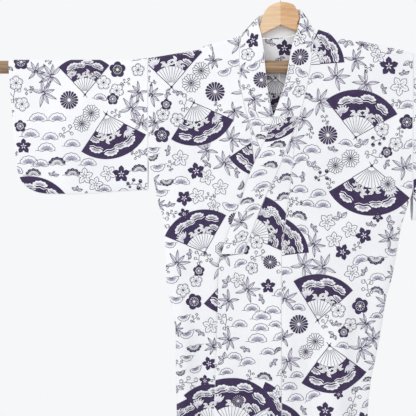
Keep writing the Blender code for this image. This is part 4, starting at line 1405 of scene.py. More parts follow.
def clip_polygon(polygon, inside):
    """Keep the part of a small polygon where a function is not negative."""
    values = [inside(x, y) for x, y in polygon]
    if min(values) >= 0.0:
        return polygon
    if max(values) < 0.0:
        return []
    kept = []
    for i, (x, y) in enumerate(polygon):
        j = (i + 1) % len(polygon)
        if values[i] >= 0.0:
            kept.append((x, y))
        if (values[i] >= 0.0) != (values[j] >= 0.0):
            t = values[i] / (values[i] - values[j])
            kept.append((x + (polygon[j][0] - x) * t, y + (polygon[j][1] - y) * t))
    return kept

# %% [markdown]
# ## The print of one piece
#
# The first motif laid is in front, and later ones are cut at its outline, just as a stencil leaves
# them out. One object for each motif would be simpler, but thousands of objects are slow, so each ink
# of a piece is gathered in one mesh.

# %% The print of one piece
GRAIN = 20000


class Print:
    """Flat shapes laid on one piece of cloth, gathered by ink."""

    def __init__(self, name, place, limits, box):
        self.name = name
        self.place = place
        self.limits = limits
        self.box = box
        self.layers = {}
        self.taken = []

    def near(self, x, y, reach):
        low_x, low_y, high_x, high_y = self.box
        return low_x - reach < x < high_x + reach and low_y - reach < y < high_y + reach

    def add(self, shapes, limits):
        for ink, outline in shapes:
            if ink not in self.layers:
                self.layers[ink] = ({}, [], [])
            known, points, faces = self.layers[ink]
            corners = tessellate_polygon([[Vector((x, y, 0.0)) for x, y in outline]])
            for triangle in corners:
                flat = tuple(outline[i] for i in triangle)
                for small in shrink_triangle(flat, EDGE_LIMIT):
                    polygon = list(small)
                    for inside in limits:
                        polygon = clip_polygon(polygon, inside)
                        if len(polygon) < 3:
                            break
                    if len(polygon) < 3:
                        continue
                    face = []
                    for x, y in polygon:
                        key = (round(x * GRAIN), round(y * GRAIN))
                        if key not in known:
                            known[key] = len(points)
                            points.append(self.place(x, y, INKS[ink][1]))
                        if known[key] not in face:
                            face.append(known[key])
                    if len(face) > 2:
                        faces.append(face)

    def front_of(self, x, y, reach):
        """Outlines already laid that a new motif has to stay behind."""
        return [outside for a, b, size, outside, _ in self.taken
                if (a - x) ** 2 + (b - y) ** 2 < (size + reach) ** 2]

    def motif(self, kind, dark, x, y, radius, turn, flip=False):
        if self.near(x, y, radius):
            shapes = moved(MOTIFS[kind](radius, dark), 0.0, 0.0, math.radians(turn))
            self.add(placed(shapes, x, y, flip), self.limits + self.front_of(x, y, radius))
            cover = radius * ROOM[kind][0]
            spare = radius * ROOM[kind][1] - cover
            self.taken.append((x, y, cover, outside_disc(x, y, cover), spare))

    def fan(self, x, y, radius, start, end, flip=False):
        if self.near(x, y, radius):
            start, end = math.radians(start), math.radians(end)
            limits = self.limits + self.front_of(x, y, radius)
            self.add(placed(fan(radius, start, end), x, y, flip), limits)
            outside = outside_sector(x, y, radius, start, end, flip)
            limits += [lambda a, b: -outside(a, b) - radius * 0.02, outside_disc(x, y, radius * FAN_INNER)]
            self.add(placed(fan_ornaments(radius, start, end), x, y, flip), limits)
            self.taken.append((x, y, radius, outside, 0.0))

    def room(self, x, y):
        """Distance from a place to the nearest motif."""
        return min((outside(x, y) - spare for _, _, _, outside, spare in self.taken), default=1.0)

    def finish(self):
        made = []
        for ink, (_, points, faces) in sorted(self.layers.items()):
            if faces:
                item = link(f"print_{self.name}_{ink}", points, faces, INKS[ink][0])
                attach(item, "root")
                made.append(item)
        return made

# %% [markdown]
# A flower fills its whole radius, while a spray lets others reach between its leaves.

# %% Room that a motif takes
# Shares of its radius: in which a motif hides what lies behind it, and which it keeps clear
ROOM = {"chrysanthemum": (0.97, 1.02), "plum": (0.9, 1.0), "bellflower": (0.62, 0.92),
        "bamboo": (0.3, 0.72), "pine": (0.62, 0.86), "twig": (0.2, 0.62), "leafage": (0.35, 0.72)}
CROWDED = 0.42


def outside_disc(x, y, radius):
    return lambda a, b: math.hypot(a - x, b - y) - radius


def outside_sector(x, y, radius, start, end, flip):
    """Distance outwards from a fan, below zero inside it."""
    way = -1.0 if flip else 1.0

    def outside(a, b):
        u, v = a - x, (b - y) * way
        first = math.cos(start) * v - math.sin(start) * u
        last = math.sin(end) * u - math.cos(end) * v
        return -min(radius - math.hypot(u, v), first, last)
    return outside


def placed(shapes, x, y, flip):
    way = -1.0 if flip else 1.0
    return [(ink, [(x + u, y + v * way) for u, v in outline]) for ink, outline in shapes]

# %% [markdown]
# ## From the chart to the cloth
#
# A place on the chart becomes a point just over the cloth, by the cloth's depth. The bands bend too
# much for that, so on them a place is measured along and across, as with a tape.

# %% From the chart to the cloth
def on_surface(depth, out, way):
    """Place on a sheet given by its depth at (x, z), moved outwards square to it."""
    def place(x, z, offset):
        step = 0.0015
        y = depth(x, z)
        slope_x = (depth(x + step, z) - y) / step
        slope_z = (y - depth(x, z - step)) / step
        normal = Vector((-slope_x, 1.0, -slope_z)).normalized() * way
        return Vector((x, y, z)) + normal * (out + offset)
    return place


def on_grid(grid, out):
    """Place on a band by distance along and across it, moved outwards square to it."""
    middle = len(grid[0]) // 2
    along = [0.0]
    for first, second in zip(grid, grid[1:]):
        along.append(along[-1] + (second[middle] - first[middle]).length)
    normals = grid_normals(grid, False)

    def place(s, w, offset):
        i = min(max(bisect.bisect_right(along, s) - 1, 0), len(grid) - 2)
        t = (s - along[i]) / (along[i + 1] - along[i])
        width = (grid[i][-1] - grid[i][0]).length
        column = min(max(w / width, 0.0), 1.0) * (len(grid[0]) - 1)
        j = min(int(column), len(grid[0]) - 2)
        u = column - j
        corners = ((i, j, (1 - t) * (1 - u)), (i, j + 1, (1 - t) * u), (i + 1, j, t * (1 - u)),
                   (i + 1, j + 1, t * u))
        point, normal = Vector(), Vector()
        for row, col, share in corners:
            point += grid[row][col] * share
            normal += normals[row][col] * share
        return point + normal.normalized() * (out + offset)

    def width_at(s):
        i = min(max(bisect.bisect_right(along, s) - 1, 0), len(grid) - 1)
        return (grid[i][-1] - grid[i][0]).length
    return place, along[-1], width_at

# %% [markdown]
# ## Laying a chart
#
# Flowers are laid first, then fans, then sprays. Small motifs, thrown with a fixed seed, fill the gaps
# that are left, and every run gives the same robe.

# %% Laying a chart
FLOWERS = ("chrysanthemum", "plum", "bellflower")


def lay(cloth, fans, spots, flip=False, mirror_row=None, shift=0.0, columns=0.0):
    """Lay a chart, moved by some rows and columns, or mirrored at a row."""
    def row_at(row):
        return row + shift if mirror_row is None else 2 * mirror_row - row + shift

    def lay_spots(kinds):
        for name, places in spots.items():
            kind = name.split()[-1]
            if kind not in kinds:
                continue
            for column, row, radius, turn in places:
                x, y = across_at(column + columns), height_at(row_at(row))
                size = radius * METRES_PER_PIXEL
                if kind in FLOWERS or cloth.room(x, y) > size * CROWDED:
                    cloth.motif(kind, name.startswith("dark"), x, y, size, turn, flip)
    lay_spots(FLOWERS)
    for column, row, radius, start, end in fans:
        cloth.fan(across_at(column + columns), height_at(row_at(row)), radius * METRES_PER_PIXEL,
                  start, end, flip)
    lay_spots(("pine",))
    lay_spots(("bamboo", "twig", "leafage"))


def rows_between(fans, spots, low, high):
    """The part of a chart that lies between two rows."""
    kept = {name: [p for p in places if low < p[1] < high] for name, places in spots.items()}
    return [f for f in fans if low < f[1] < high], kept


# Motifs thrown into the gaps, largest first: kind, radius, clear share of it, throws a square metre
FILLERS = (
    ("bamboo", 0.033, 0.72, 700), ("pine", 0.021, 0.9, 700), ("leafage", 0.022, 0.8, 900),
    ("bamboo", 0.025, 0.74, 900), ("twig", 0.022, 0.78, 900), ("bellflower", 0.017, 0.94, 700),
    ("pine", 0.016, 0.94, 1200), ("leafage", 0.015, 0.8, 1500), ("twig", 0.013, 0.8, 1600),
)


def fill_gaps(cloth, seed):
    draw = random.Random(seed)
    low_x, low_y, high_x, high_y = cloth.box
    area = (high_x - low_x) * (high_y - low_y)
    count = 0
    for kind, radius, share, throws in FILLERS:
        for _ in range(int(throws * area)):
            x, y = draw.uniform(low_x, high_x), draw.uniform(low_y, high_y)
            turn = draw.uniform(-25.0, 25.0) if kind == "pine" else draw.uniform(0.0, 360.0)
            if min(inside(x, y) for inside in cloth.limits) < -radius * 0.4:
                continue
            if cloth.room(x, y) > radius * share:
                cloth.motif(kind, False, x, y, radius, turn)
                count += 1
    print(cloth.name, "gaps filled with", count, "small motifs")

# %% [markdown]
# ## The cloth
#
# Two lengths run over the shoulder in one piece, and two sleeves, two overlap panels and the collar
# with its cover are sewn to them. They could be one mesh, but separate pieces show real seams, with a
# thin gap and its shadow.

# %% The cloth
def own(item, node_names):
    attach(item, "root")
    if node_names:
        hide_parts(*node_names)
    return item


bodies, sleeves, laps, bands = {}, {}, {}, {}
for side in ("left", "right"):
    bodies[side] = own(make_shell("cloth_body_" + side, body_grid(side), WALL, COTTON),
                       ["front_" + side, "back_" + side])
    sleeves[side] = own(make_shell("cloth_sleeve_" + side, sleeve_grid(side), WALL, COTTON, True),
                        ["sleeve_" + side])
for layer in ("over", "under"):
    laps[layer] = own(make_shell("cloth_overlap_" + layer, overlap_grid(layer), WALL, COTTON),
                      ["overlap_" + layer])
    bands[layer] = own(make_shell("cloth_collar_" + layer, collar_grid(layer), BAND_WALL, BAND_COTTON),
                       ["collar_" + layer])
cover = own(make_shell("cloth_collar_cover", cover_grid(), BAND_WALL, BAND_COTTON), ["collar_cover"])
for piece in (*bodies.values(), *sleeves.values(), *laps.values(), *bands.values(), cover):
    print(piece.name, "has", len(piece.data.polygons), "faces")

# %% [markdown]
# ## Where the print ends
#
# The print is cut a hair before each edge, where the cloth turns in. For each kind of piece its edges
# are stated as distances that fall below zero outside.

# %% Where the print ends
EDGE = 0.0008
SIDE_EDGE = 0.0015
TOP_EDGE = 0.0014
END_EDGE = 0.0012
ROUND_EDGE = 0.0022


def neck_drop(x, side):
    """How far the back's top line lies below the shoulder's top line."""
    share = abs(x / NECK[side])
    if share >= 1.0:
        return 0.0
    over = math.acos(share) / (math.pi / 2) * NECK_SPREAD
    drop = turn_at(abs(x)) * (1.0 - math.cos(math.radians(ARCH_LIMIT * min(1.0, over))))
    return drop + (0.006 * (over - 1.0) if over > 1.0 else 0.0)


def above_hem(x, z):
    return z - HEM - EDGE


def body_print(side, face):
    way = OUTWARDS[side]
    front = face == "front"
    edge = TOP_EDGE if front else ROUND_EDGE
    limits = [
        lambda x, z: (x - (front_inner(side, z) if front else 0.0)) * way - EDGE,
        lambda x, z: (SIDE_AT[side](z) - x) * way - SIDE_EDGE,
        lambda x, z: crest_at(x) - (0.0 if front else neck_drop(x, side)) - z - edge,
        above_hem,
    ]
    box = (0.0, HEM, 0.33, -0.12) if side == "right" else (-0.33, HEM, 0.05 if front else 0.0, -0.12)
    place = on_surface(lambda x, z: side_round(side, face, x, z), WALL / 2, -1.0 if front else 1.0)
    return Print(f"{face}_{side}", place, limits, box)


def lap_print(layer):
    way = 1.0 if layer == "over" else -1.0

    def edge_side(x, z):
        edge = LAP_EDGE_AT[layer](z) if z < COLLAR_END else SEAM_AT[layer](z) + way * SEAM
        return (x - edge) * way - EDGE
    limits = [
        edge_side,
        lambda x, z: (LAP_SEAM_AT[layer](z) - x) * way - EDGE,
        lambda x, z: OVERLAP_TIP - 0.008 - z,
        above_hem,
    ]
    place = on_surface(lambda x, z: front_depth(x, z, layer), WALL / 2, -1.0)
    return Print("overlap_" + layer, place, limits, (-0.17, HEM, 0.14, OVERLAP_TIP))


def cuff_line(z):
    """How far out the edge of a cuff lies at one height."""
    return SLEEVE_END + (CUFF_LOW - SLEEVE_END) * ((ROD_HEIGHT - z) / (ROD_HEIGHT - CUFF_BOTTOM))


def sleeve_print(side, face):
    way = OUTWARDS[side]
    facing = -1.0 if face == "front" else 1.0

    def cuff_side(x, z):
        return cuff_line(z) - x * way - END_EDGE
    limits = [
        lambda x, z: x * way - ARMHOLE - TOP_EDGE,
        cuff_side,
        lambda x, z: crest_at(x) - z - TOP_EDGE,
        lambda x, z: z - BOTTOM_AT[side](min(CUFF_LOW, abs(x))) - ROUND_EDGE,
    ]
    box = (-0.67, -0.6, -0.325, -0.19) if side == "left" else (0.325, -0.61, 0.67, -0.17)
    place = on_surface(lambda x, z: facing * sleeve_depth_at(side, x, z, face), WALL / 2, facing)
    return Print(f"sleeve_{side}_{face}", place, limits, box)

# %% [markdown]
# ## Printing the fronts
#
# The fronts follow the chart down to the picture's last row. Below that its lower part is repeated, as
# a stencil would.

# %% Printing the fronts
prints = {}
FIRST_REPEAT = 229
LAST_ROW = 2000

cloth = prints["front_right"] = body_print("right", "front")
lay(cloth, RIGHT_FANS, RIGHT_SPOTS)
lay(cloth, *rows_between(RIGHT_FANS, RIGHT_SPOTS, FIRST_REPEAT, LAST_ROW), shift=REPEAT)

cloth = prints["overlap_over"] = lap_print("over")
lay(cloth, OVER_LAP_FANS, OVER_LAP_SPOTS)
lay(cloth, *rows_between(OVER_LAP_FANS, OVER_LAP_SPOTS, FIRST_REPEAT, 400), shift=REPEAT)
cloth = prints["overlap_under"] = lap_print("under")
for shift in (REPEAT, 2 * REPEAT):
    lay(cloth, LEFT_FANS, LEFT_SPOTS, shift=shift, columns=112.0)

cloth = prints["front_left"] = body_print("left", "front")
lay(cloth, LEFT_FANS, LEFT_SPOTS)
later = rows_between(LEFT_FANS, LEFT_SPOTS, FIRST_REPEAT, LAST_ROW)
lay(cloth, *later, shift=REPEAT)
lay(cloth, *later, shift=REPEAT / 2 + 2, columns=56.0)
print("motifs on the fronts:", {name: len(cloth.taken) for name, cloth in prints.items()})

# %% [markdown]
# ## Printing the back, the sleeves and the inside
#
# A length goes on over the shoulder without a seam, so its print stands on its head at the back, and
# the chart is mirrored there. Inside, only the part that the neck shows is printed.

# %% Printing the back, the sleeves and the inside
BACK_TOP_ROW = 40.0
for side, fans, spots in (("left", LEFT_FANS, LEFT_SPOTS), ("right", RIGHT_FANS, RIGHT_SPOTS)):
    cloth = prints["back_" + side] = body_print(side, "back")
    early = rows_between(fans, spots, 0, FIRST_REPEAT)
    for repeat in (1, 2, 3):
        lay(cloth, *early, flip=True, mirror_row=BACK_TOP_ROW, shift=repeat * REPEAT)
        if side == "left":
            lay(cloth, early[0][:2], {}, flip=True, mirror_row=BACK_TOP_ROW,
                shift=repeat * REPEAT - 90.0, columns=74.0)

for side, columns in (("left", 0.0), ("right", 404.0)):
    cloth = prints["sleeve_front_" + side] = sleeve_print(side, "front")
    lay(cloth, SLEEVE_FANS, SLEEVE_SPOTS, columns=columns)
    lay(cloth, SLEEVE_FANS[1:2], SLEEVE_SPOTS, columns=columns, shift=-REPEAT + 28.0)
    if side == "right":
        lay(cloth, (), SLEEVE_SPOTS, columns=columns, shift=REPEAT * 0.78)
    cloth = prints["sleeve_back_" + side] = sleeve_print(side, "back")
    lay(cloth, SLEEVE_FANS, SLEEVE_SPOTS, flip=True, mirror_row=59.0, shift=REPEAT - 30.0,
        columns=columns)

INSIDE_HALF = 0.06
INSIDE_LOW = -0.36
INSIDE_TOP = -0.145
INSIDE_SIDE_TOP = -0.148
inside_limits = [
    lambda x, z: INSIDE_TOP - z if abs(x) < INSIDE_HALF / 2 else INSIDE_SIDE_TOP - z,
    lambda x, z: INSIDE_HALF - abs(x),
    lambda x, z: z - INSIDE_LOW,
]
inside_place = on_surface(lambda x, z: half_depth(x, z, "back"), WALL / 2, -1.0)
cloth = prints["inside"] = Print("inside", inside_place, inside_limits,
                                 (-INSIDE_HALF, INSIDE_LOW, INSIDE_HALF, -0.14))
lay(cloth, INSIDE_FANS, INSIDE_SPOTS)
print("pieces printed so far:", len(prints))

# %% [markdown]
# ## Printing the collar
#
# The band is cut from the same cloth, but its print doesn't meet the fronts' at the seams, so its
# motifs have a chart of their own. The under band is followed from its upper end, which turns its
# outer side to the viewer.

# %% Printing the collar
def band_print(name, grid, spots, fans=()):
    place, length, width_at = on_grid(grid, BAND_WALL / 2)
    limits = [
        lambda s, w: s - END_EDGE,
        lambda s, w: length - s - END_EDGE,
        lambda s, w: w - 2 * EDGE,
        lambda s, w: width_at(s) - EDGE - w,
    ]
    widest = max(width_at(0.0), width_at(length / 2))
    cloth = prints[name] = Print(name, place, limits, (0.0, 0.0, length, widest))
    for kind_name, places in spots.items():
        for s, w, radius, turn in places:
            cloth.motif(kind_name.split()[-1], kind_name.startswith("dark"), s, w, radius, turn)
    for from_end, w, radius, start, end in fans:
        cloth.fan(length + from_end, w, radius, start, end)


band_print("collar_cover", cover_grid(), COVER_SPOTS)
band_print("collar_over", collar_grid("over"), OVER_BAND_SPOTS, ((0.012, 0.06, 0.078, 168, 262),))
band_print("collar_under", collar_grid("under")[::-1], UNDER_BAND_SPOTS)

print("motifs on the collar's cover:", len(prints["collar_cover"].taken))

# %% [markdown]
# Each print belongs to one piece of cloth. Its gaps are filled, it becomes a mesh for each ink, and
# the meshes are noted with the piece that carries them.

# %% Filling the gaps
carriers = {"inside": bodies["right"], "collar_cover": cover}
for side in ("left", "right"):
    for face in ("front", "back"):
        carriers[f"{face}_{side}"] = bodies[side]
        carriers[f"sleeve_{face}_{side}"] = sleeves[side]
for layer in ("over", "under"):
    carriers["overlap_" + layer] = laps[layer]
    carriers["collar_" + layer] = bands[layer]
on_piece = {}
for seed, name in enumerate(sorted(prints)):
    if name != "inside":
        fill_gaps(prints[name], seed)
    on_piece.setdefault(carriers[name].name, []).extend(prints[name].finish())

# %% [markdown]
# ## Where it is sewn
#
# Running stitches go along the hem, the cuffs and the long seams. They follow the cloth, so their
# lines come from the same surface as the print.

# %% Where it is sewn
HEM_FOLD = 0.018
CUFF_FOLD = 0.009
STITCH_LIFT = 0.0002


def sewing_lines():
    lines = []
    for side in ("left", "right"):
        way = OUTWARDS[side]
        for face, facing in (("front", -1.0), ("back", 1.0)):
            edge = front_inner(side, HEM + HEM_FOLD) if face == "front" else 0.0
            start, end = edge + way * 0.004, SIDE_AT[side](HEM) - way * 0.01
            place = on_surface(lambda x, z, f=face, s=side: side_round(s, f, x, z), WALL / 2, facing)
            lines.append([place(x, HEM + HEM_FOLD, STITCH_LIFT) for x in spaced(start, end, 0.008)])
            cuff = on_surface(lambda x, z, f=face, s=side, g=facing: g * sleeve_depth_at(s, x, z, f),
                              WALL / 2, facing)
            lines.append([cuff(way * (cuff_line(z) - CUFF_FOLD), z, STITCH_LIFT)
                          for z in spaced(ROD_HEIGHT, -0.41, 0.008)])
    for layer in ("over", "under"):
        way = 1.0 if layer == "over" else -1.0
        place = on_surface(lambda x, z, k=layer: front_depth(x, z, k), WALL / 2, -1.0)
        lines.append([place(LAP_SEAM_AT[layer](z) - way * 0.003, z, STITCH_LIFT)
                      for z in spaced(HEM + 0.003, -0.5, 0.01)])
        lines.append([place(LAP_EDGE_AT[layer](z) + way * 0.007, z, STITCH_LIFT)
                      for z in spaced(HEM + 0.003, COLLAR_END - 0.006, 0.01)])
        lines.append([place(SEAM_AT[layer](z) + way * 0.0024, z, STITCH_LIFT)
                      for z in spaced(COLLAR_END + 0.012, -0.225, 0.008)])
    return lines


seams = sewing_lines()
print(len(seams), "lines to sew")

# %% [markdown]
# ## Stitches with Geometry Nodes
#
# Hundreds of stitches are alike. An array with a curve modifier would need an object for each line.
# Geometry Nodes take all the lines at once: each becomes a curve, points are set on it at even
# distances, and a small thread is put on each point and turned along the curve.

# %% Stitches with Geometry Nodes
def stitch_tree():
    tree = bpy.data.node_groups.new("running_stitch", "GeometryNodeTree")
    sockets = {}
    for name, kind in (("Lines", "Geometry"), ("Spacing", "Float"), ("Length", "Float"),
                       ("Thickness", "Float"), ("Thread", "Material")):
        made = tree.interface.new_socket(name, in_out="INPUT", socket_type="NodeSocket" + kind)
        sockets[name] = made.identifier
    tree.interface.new_socket("Stitches", in_out="OUTPUT", socket_type="NodeSocketGeometry")
    given = tree.nodes.new("NodeGroupInput").outputs
    result = tree.nodes.new("NodeGroupOutput")
    curve = add_node(tree, "GeometryNodeMeshToCurve", Mesh=given["Lines"])
    places = add_node(tree, "GeometryNodeResampleCurve", {"mode": "LENGTH"}, Curve=curve.outputs["Curve"],
                      Length=given["Spacing"])
    bead = add_node(tree, "GeometryNodeMeshIcoSphere", Subdivisions=1, Radius=0.5)
    size = add_node(tree, "ShaderNodeCombineXYZ", X=given["Length"], Y=given["Thickness"],
                    Z=given["Thickness"])
    tangent = add_node(tree, "GeometryNodeInputTangent")
    turned = add_node(tree, "FunctionNodeAlignRotationToVector", {"axis": "X"},
                      Vector=tangent.outputs["Tangent"])
    threads = add_node(tree, "GeometryNodeInstanceOnPoints", Points=places.outputs["Curve"],
                       Instance=bead.outputs["Mesh"], Rotation=turned.outputs["Rotation"],
                       Scale=size.outputs["Vector"])
    real = add_node(tree, "GeometryNodeRealizeInstances", Geometry=threads.outputs["Instances"])
    coloured = add_node(tree, "GeometryNodeSetMaterial", Geometry=real.outputs["Geometry"],
                        Material=given["Thread"])
    tree.links.new(coloured.outputs["Geometry"], result.inputs["Stitches"])
    return tree, sockets


def make_stitches():
    points, edges = [], []
    for line in seams:
        first = len(points)
        points += [tuple(p) for p in line]
        edges += [(first + i, first + i + 1) for i in range(len(line) - 1)]
    data = bpy.data.meshes.new("sewing_lines")
    data.from_pydata(points, edges, [])
    wires = bpy.data.objects.new("sewing_lines", data)
    bpy.context.scene.collection.objects.link(wires)
    tree, sockets = stitch_tree()
    modifier = wires.modifiers.new("running_stitch", "NODES")
    modifier.node_group = tree
    modifier[sockets["Spacing"]] = 0.0052
    modifier[sockets["Length"]] = 0.0027
    modifier[sockets["Thickness"]] = 0.00055
    modifier[sockets["Thread"]] = THREAD
    graph = bpy.context.evaluated_depsgraph_get()
    mesh = bpy.data.meshes.new_from_object(wires.evaluated_get(graph))
    mesh.shade_smooth()
    bpy.data.objects.remove(wires, do_unlink=True)
    item = bpy.data.objects.new("stitches", mesh)
    bpy.context.scene.collection.objects.link(item)
    return item


stitches = own(make_stitches(), [])
print("sewing has", len(stitches.data.polygons), "faces")

# %% [markdown]
# ## What it was cut from
#
# Each piece was a flat rectangle, cut from a cloth 36 cm wide, less its seams. Nobody can measure that
# on the hanging robe, so it is stated, with the area that shows where a strip is turned in.

# %% What it was cut from
CUTS = (
    (bodies["left"], (0.34, 2.8), 0.8), (bodies["right"], (0.34, 2.8), 0.8),
    (sleeves["left"], (0.34, 0.66), None), (sleeves["right"], (0.34, 0.78), None),
    (laps["over"], (0.16, 1.2), None), (laps["under"], (0.16, 1.2), None),
    (bands["over"], (0.0575, 0.375), None), (bands["under"], (0.0575, 0.375), None),
    (cover, (0.0575, 0.66), None),
)
print("cloth cut for", round(sum(long * wide for _, (long, wide), _ in CUTS), 2), "square metres")

# %% [markdown]
# ## Outline of the hanger
#
# The arms carry the shoulders, so their top runs just under the cloth and comes from the same line.
# Only the crown shows. It is stated in a few places, with a smooth curve between them.

# %% Outline of the hanger
ARM_DEPTH = 0.022


def arm_top(x):
    under_band = 0.0014 * (1.0 - ease(0.1, 0.12, abs(x)))
    return crest_at(x) - WOOD_CLEARANCE - under_band


def hanger_outline(side):
    """Outline of half the hanger, with the rounding of its edge at each point."""
    if side == "left":
        joint = JOINT_X - JOINT_GAP / 2
        crown = [(joint, -0.0615), (-0.008, -0.063), (-0.018, -0.0668), (-0.0294, -0.0742),
                 (-0.0375, -0.0845), (-0.0425, -0.096), (-0.0455, -0.108)]
        arm = [(-0.054, -0.126), (-0.07, -0.1375)]
        corner = (-0.0441, -0.1404)
        sign = -1.0
    else:
        joint = JOINT_X + JOINT_GAP / 2
        crown = [(joint, -0.0615), (0.0135, -0.062), (0.0245, -0.0648), (0.0355, -0.0698),
                 (0.0428, -0.0852), (0.0478, -0.1007), (0.0429, -0.1159)]
        arm = [(0.054, -0.1235), (0.072, -0.13)]
        corner = (0.0412, -0.1326)
        sign = 1.0
    top = [(x, z, CROWN_ROUND) for x, z in crown] + [(x, z, ARM_ROUND * 0.7) for x, z in arm]
    top[0] = (joint, crown[0][1], JOINT_ROUND)
    top += [(sign * x, arm_top(sign * x), ARM_ROUND) for x in spaced(0.1, ARM_END - 0.012, 0.0144)]
    end_top = arm_top(sign * (ARM_END - 0.012))
    low = end_top - ARM_DEPTH
    for inwards, drop in ((0.003, 0.006), (0.0, 0.012), (0.003, 0.018), (0.014, ARM_DEPTH)):
        top.append((sign * (ARM_END - inwards), end_top - drop, 0.003))
    start = sign * (ARM_END - 0.014)
    for share in (0.35, 0.7):
        top.append((start + (corner[0] - start) * share,
                    low + (corner[1] - low) * share - 0.004 * share, ARM_ROUND * 0.8))
    top.append((corner[0], corner[1], CROWN_ROUND))
    fine = [top[0]]
    for i in range(len(top) - 1):
        before, first = top[max(i - 1, 0)], top[i]
        second, after = top[i + 1], top[min(i + 2, len(top) - 1)]
        for step in range(1, 5):
            t = step / 4
            fine.append(tuple(
                0.5 * (2 * b + (c - a) * t + (2 * a - 5 * b + 4 * c - d) * t**2
                       + (3 * b - a - 3 * c + d) * t**3)
                for a, b, c, d in zip(before, first, second, after)))
    fine.append((joint, -0.1171, JOINT_ROUND))
    return fine


print("outline of a board:", len(hanger_outline("left")), "places")

# %% [markdown]
# ## The boards of the hanger
#
# A board is a stack of rings. Each ring is its outline, drawn in step by step, which rounds the edge
# as a router does. A Bevel modifier would round every edge alike, but the glued joint stays sharp.

# %% The boards of the hanger
def ring_faces(points, count):
    """Faces between rings of as many points each, every ring joined to the next one."""
    faces = []
    for row in range(len(points) // count - 1):
        for i in range(count):
            k = (i + 1) % count
            faces.append((row * count + i, row * count + k, (row + 1) * count + k, (row + 1) * count + i))
    return faces


def inset(points, amount):
    """Outline drawn in by a share of the rounding at each of its points."""
    count = len(points)
    area = sum(points[i][0] * points[(i + 1) % count][1] - points[(i + 1) % count][0] * points[i][1]
               for i in range(count))
    turn = 1.0 if area > 0 else -1.0
    result = []
    for i, (x, z, rounding) in enumerate(points):
        before = Vector((x - points[i - 1][0], z - points[i - 1][1])).normalized()
        after = Vector((points[(i + 1) % count][0] - x, points[(i + 1) % count][1] - z)).normalized()
        inwards = Vector((-(before.y + after.y), before.x + after.x)).normalized() * turn
        widen = 1.0 / max(0.6, math.sqrt((1.0 + before.dot(after)) / 2.0))
        result.append((x + inwards.x * rounding * amount * widen, z + inwards.y * rounding * amount * widen))
    return result


def turn_outwards(item):
    mesh = bmesh.new()
    mesh.from_mesh(item.data)
    bmesh.ops.recalc_face_normals(mesh, faces=mesh.faces[:])
    mesh.to_mesh(item.data)
    mesh.free()


def make_hanger_half(side, material):
    outline = hanger_outline(side)
    angles = [90, 72, 54, 36, 18, 0]
    loops = [(-1.0, a) for a in angles] + [(1.0, a) for a in reversed(angles)]
    points = []
    for sign, angle in loops:
        turn = math.radians(angle)
        for (x, z), (_, _, rounding) in zip(inset(outline, 1.0 - math.cos(turn)), outline):
            points.append((x, sign * (HANGER_HALF - rounding * (1.0 - math.sin(turn))), z))
    count = len(outline)
    faces = ring_faces(points, count)
    flat = [Vector((points[i][0], points[i][2], 0.0)) for i in range(count)]
    last = (len(loops) - 1) * count
    for a, b, c in tessellate_polygon([flat]):
        faces.append((a, b, c))
        faces.append((a + last, c + last, b + last))
    item = link("wooden_hanger_" + side, points, faces, material)
    turn_outwards(item)
    item.data.set_sharp_from_angle(angle=math.radians(40))
    return item


hanger_left = own(make_hanger_half("left", HANGER_LEFT_WOOD), ["hanger_left"])
hanger_right = own(make_hanger_half("right", HANGER_RIGHT_WOOD), ["hanger_right"])
print("each board has about", len(hanger_left.data.polygons), "faces")

# %% [markdown]
# ## Hook and rod
#
# The hook is a wire bent round in a circle, open at its left end. The rod is turned, but an old stick
# is never quite round or straight, so its radius swings a little. Both are rings with closed ends.

# %% Hook and rod
def make_bar(name, points, sides, material):
    """Solid bar from rings of points, with a flat face at each end."""
    faces = ring_faces(points, sides)
    faces.append(tuple(range(sides)))
    faces.append(tuple(len(points) - 1 - i for i in range(sides)))
    item = link(name, points, faces, material)
    turn_outwards(item)
    return item


def make_tube(name, path, radius, sides, material):
    """Round wire along a path in the plane of the hanger, with rounded ends."""
    points, stations = [], []
    for i, point in enumerate(path):
        along = (path[min(i + 1, len(path) - 1)] - path[max(i - 1, 0)]).normalized()
        if i == 0:
            stations += [(point - along * radius * (0.7 * math.cos(a)), along, radius * math.sin(a))
                         for a in (0.25, 0.7, 1.1)]
        stations.append((point, along, radius))
        if i == len(path) - 1:
            stations += [(point + along * radius * (0.7 * math.cos(a)), along, radius * math.sin(a))
                         for a in (1.1, 0.7, 0.25)]
    for point, along, size in stations:
        sideways = Vector((0.0, 1.0, 0.0))
        upwards = along.cross(sideways).normalized()
        for i in range(sides):
            angle = 2 * math.pi * i / sides
            points.append(point + (sideways * math.cos(angle) + upwards * math.sin(angle)) * size)
    return make_bar(name, points, sides, material)


def hook_path():
    radius = HOOK_RADIUS + WIRE_RADIUS
    centre = Vector((0.0, 0.0, -HOOK_RADIUS))
    path = [Vector((JOINT_X, 0.0, z)) for z in spaced(-0.059, -0.0548, 0.0014)]
    path += [Vector((0.0022, 0.0, -0.05)), Vector((0.0058, 0.0, -0.0448))]
    for step in range(61):
        angle = math.radians(-56.0 + 246.0 * step / 60)
        path.append(centre + Vector((math.cos(angle), 0.0, math.sin(angle))) * radius)
    return path + [path[-1] + Vector((-0.0012, 0.0, -0.004))]


ROD_SIDES = 48


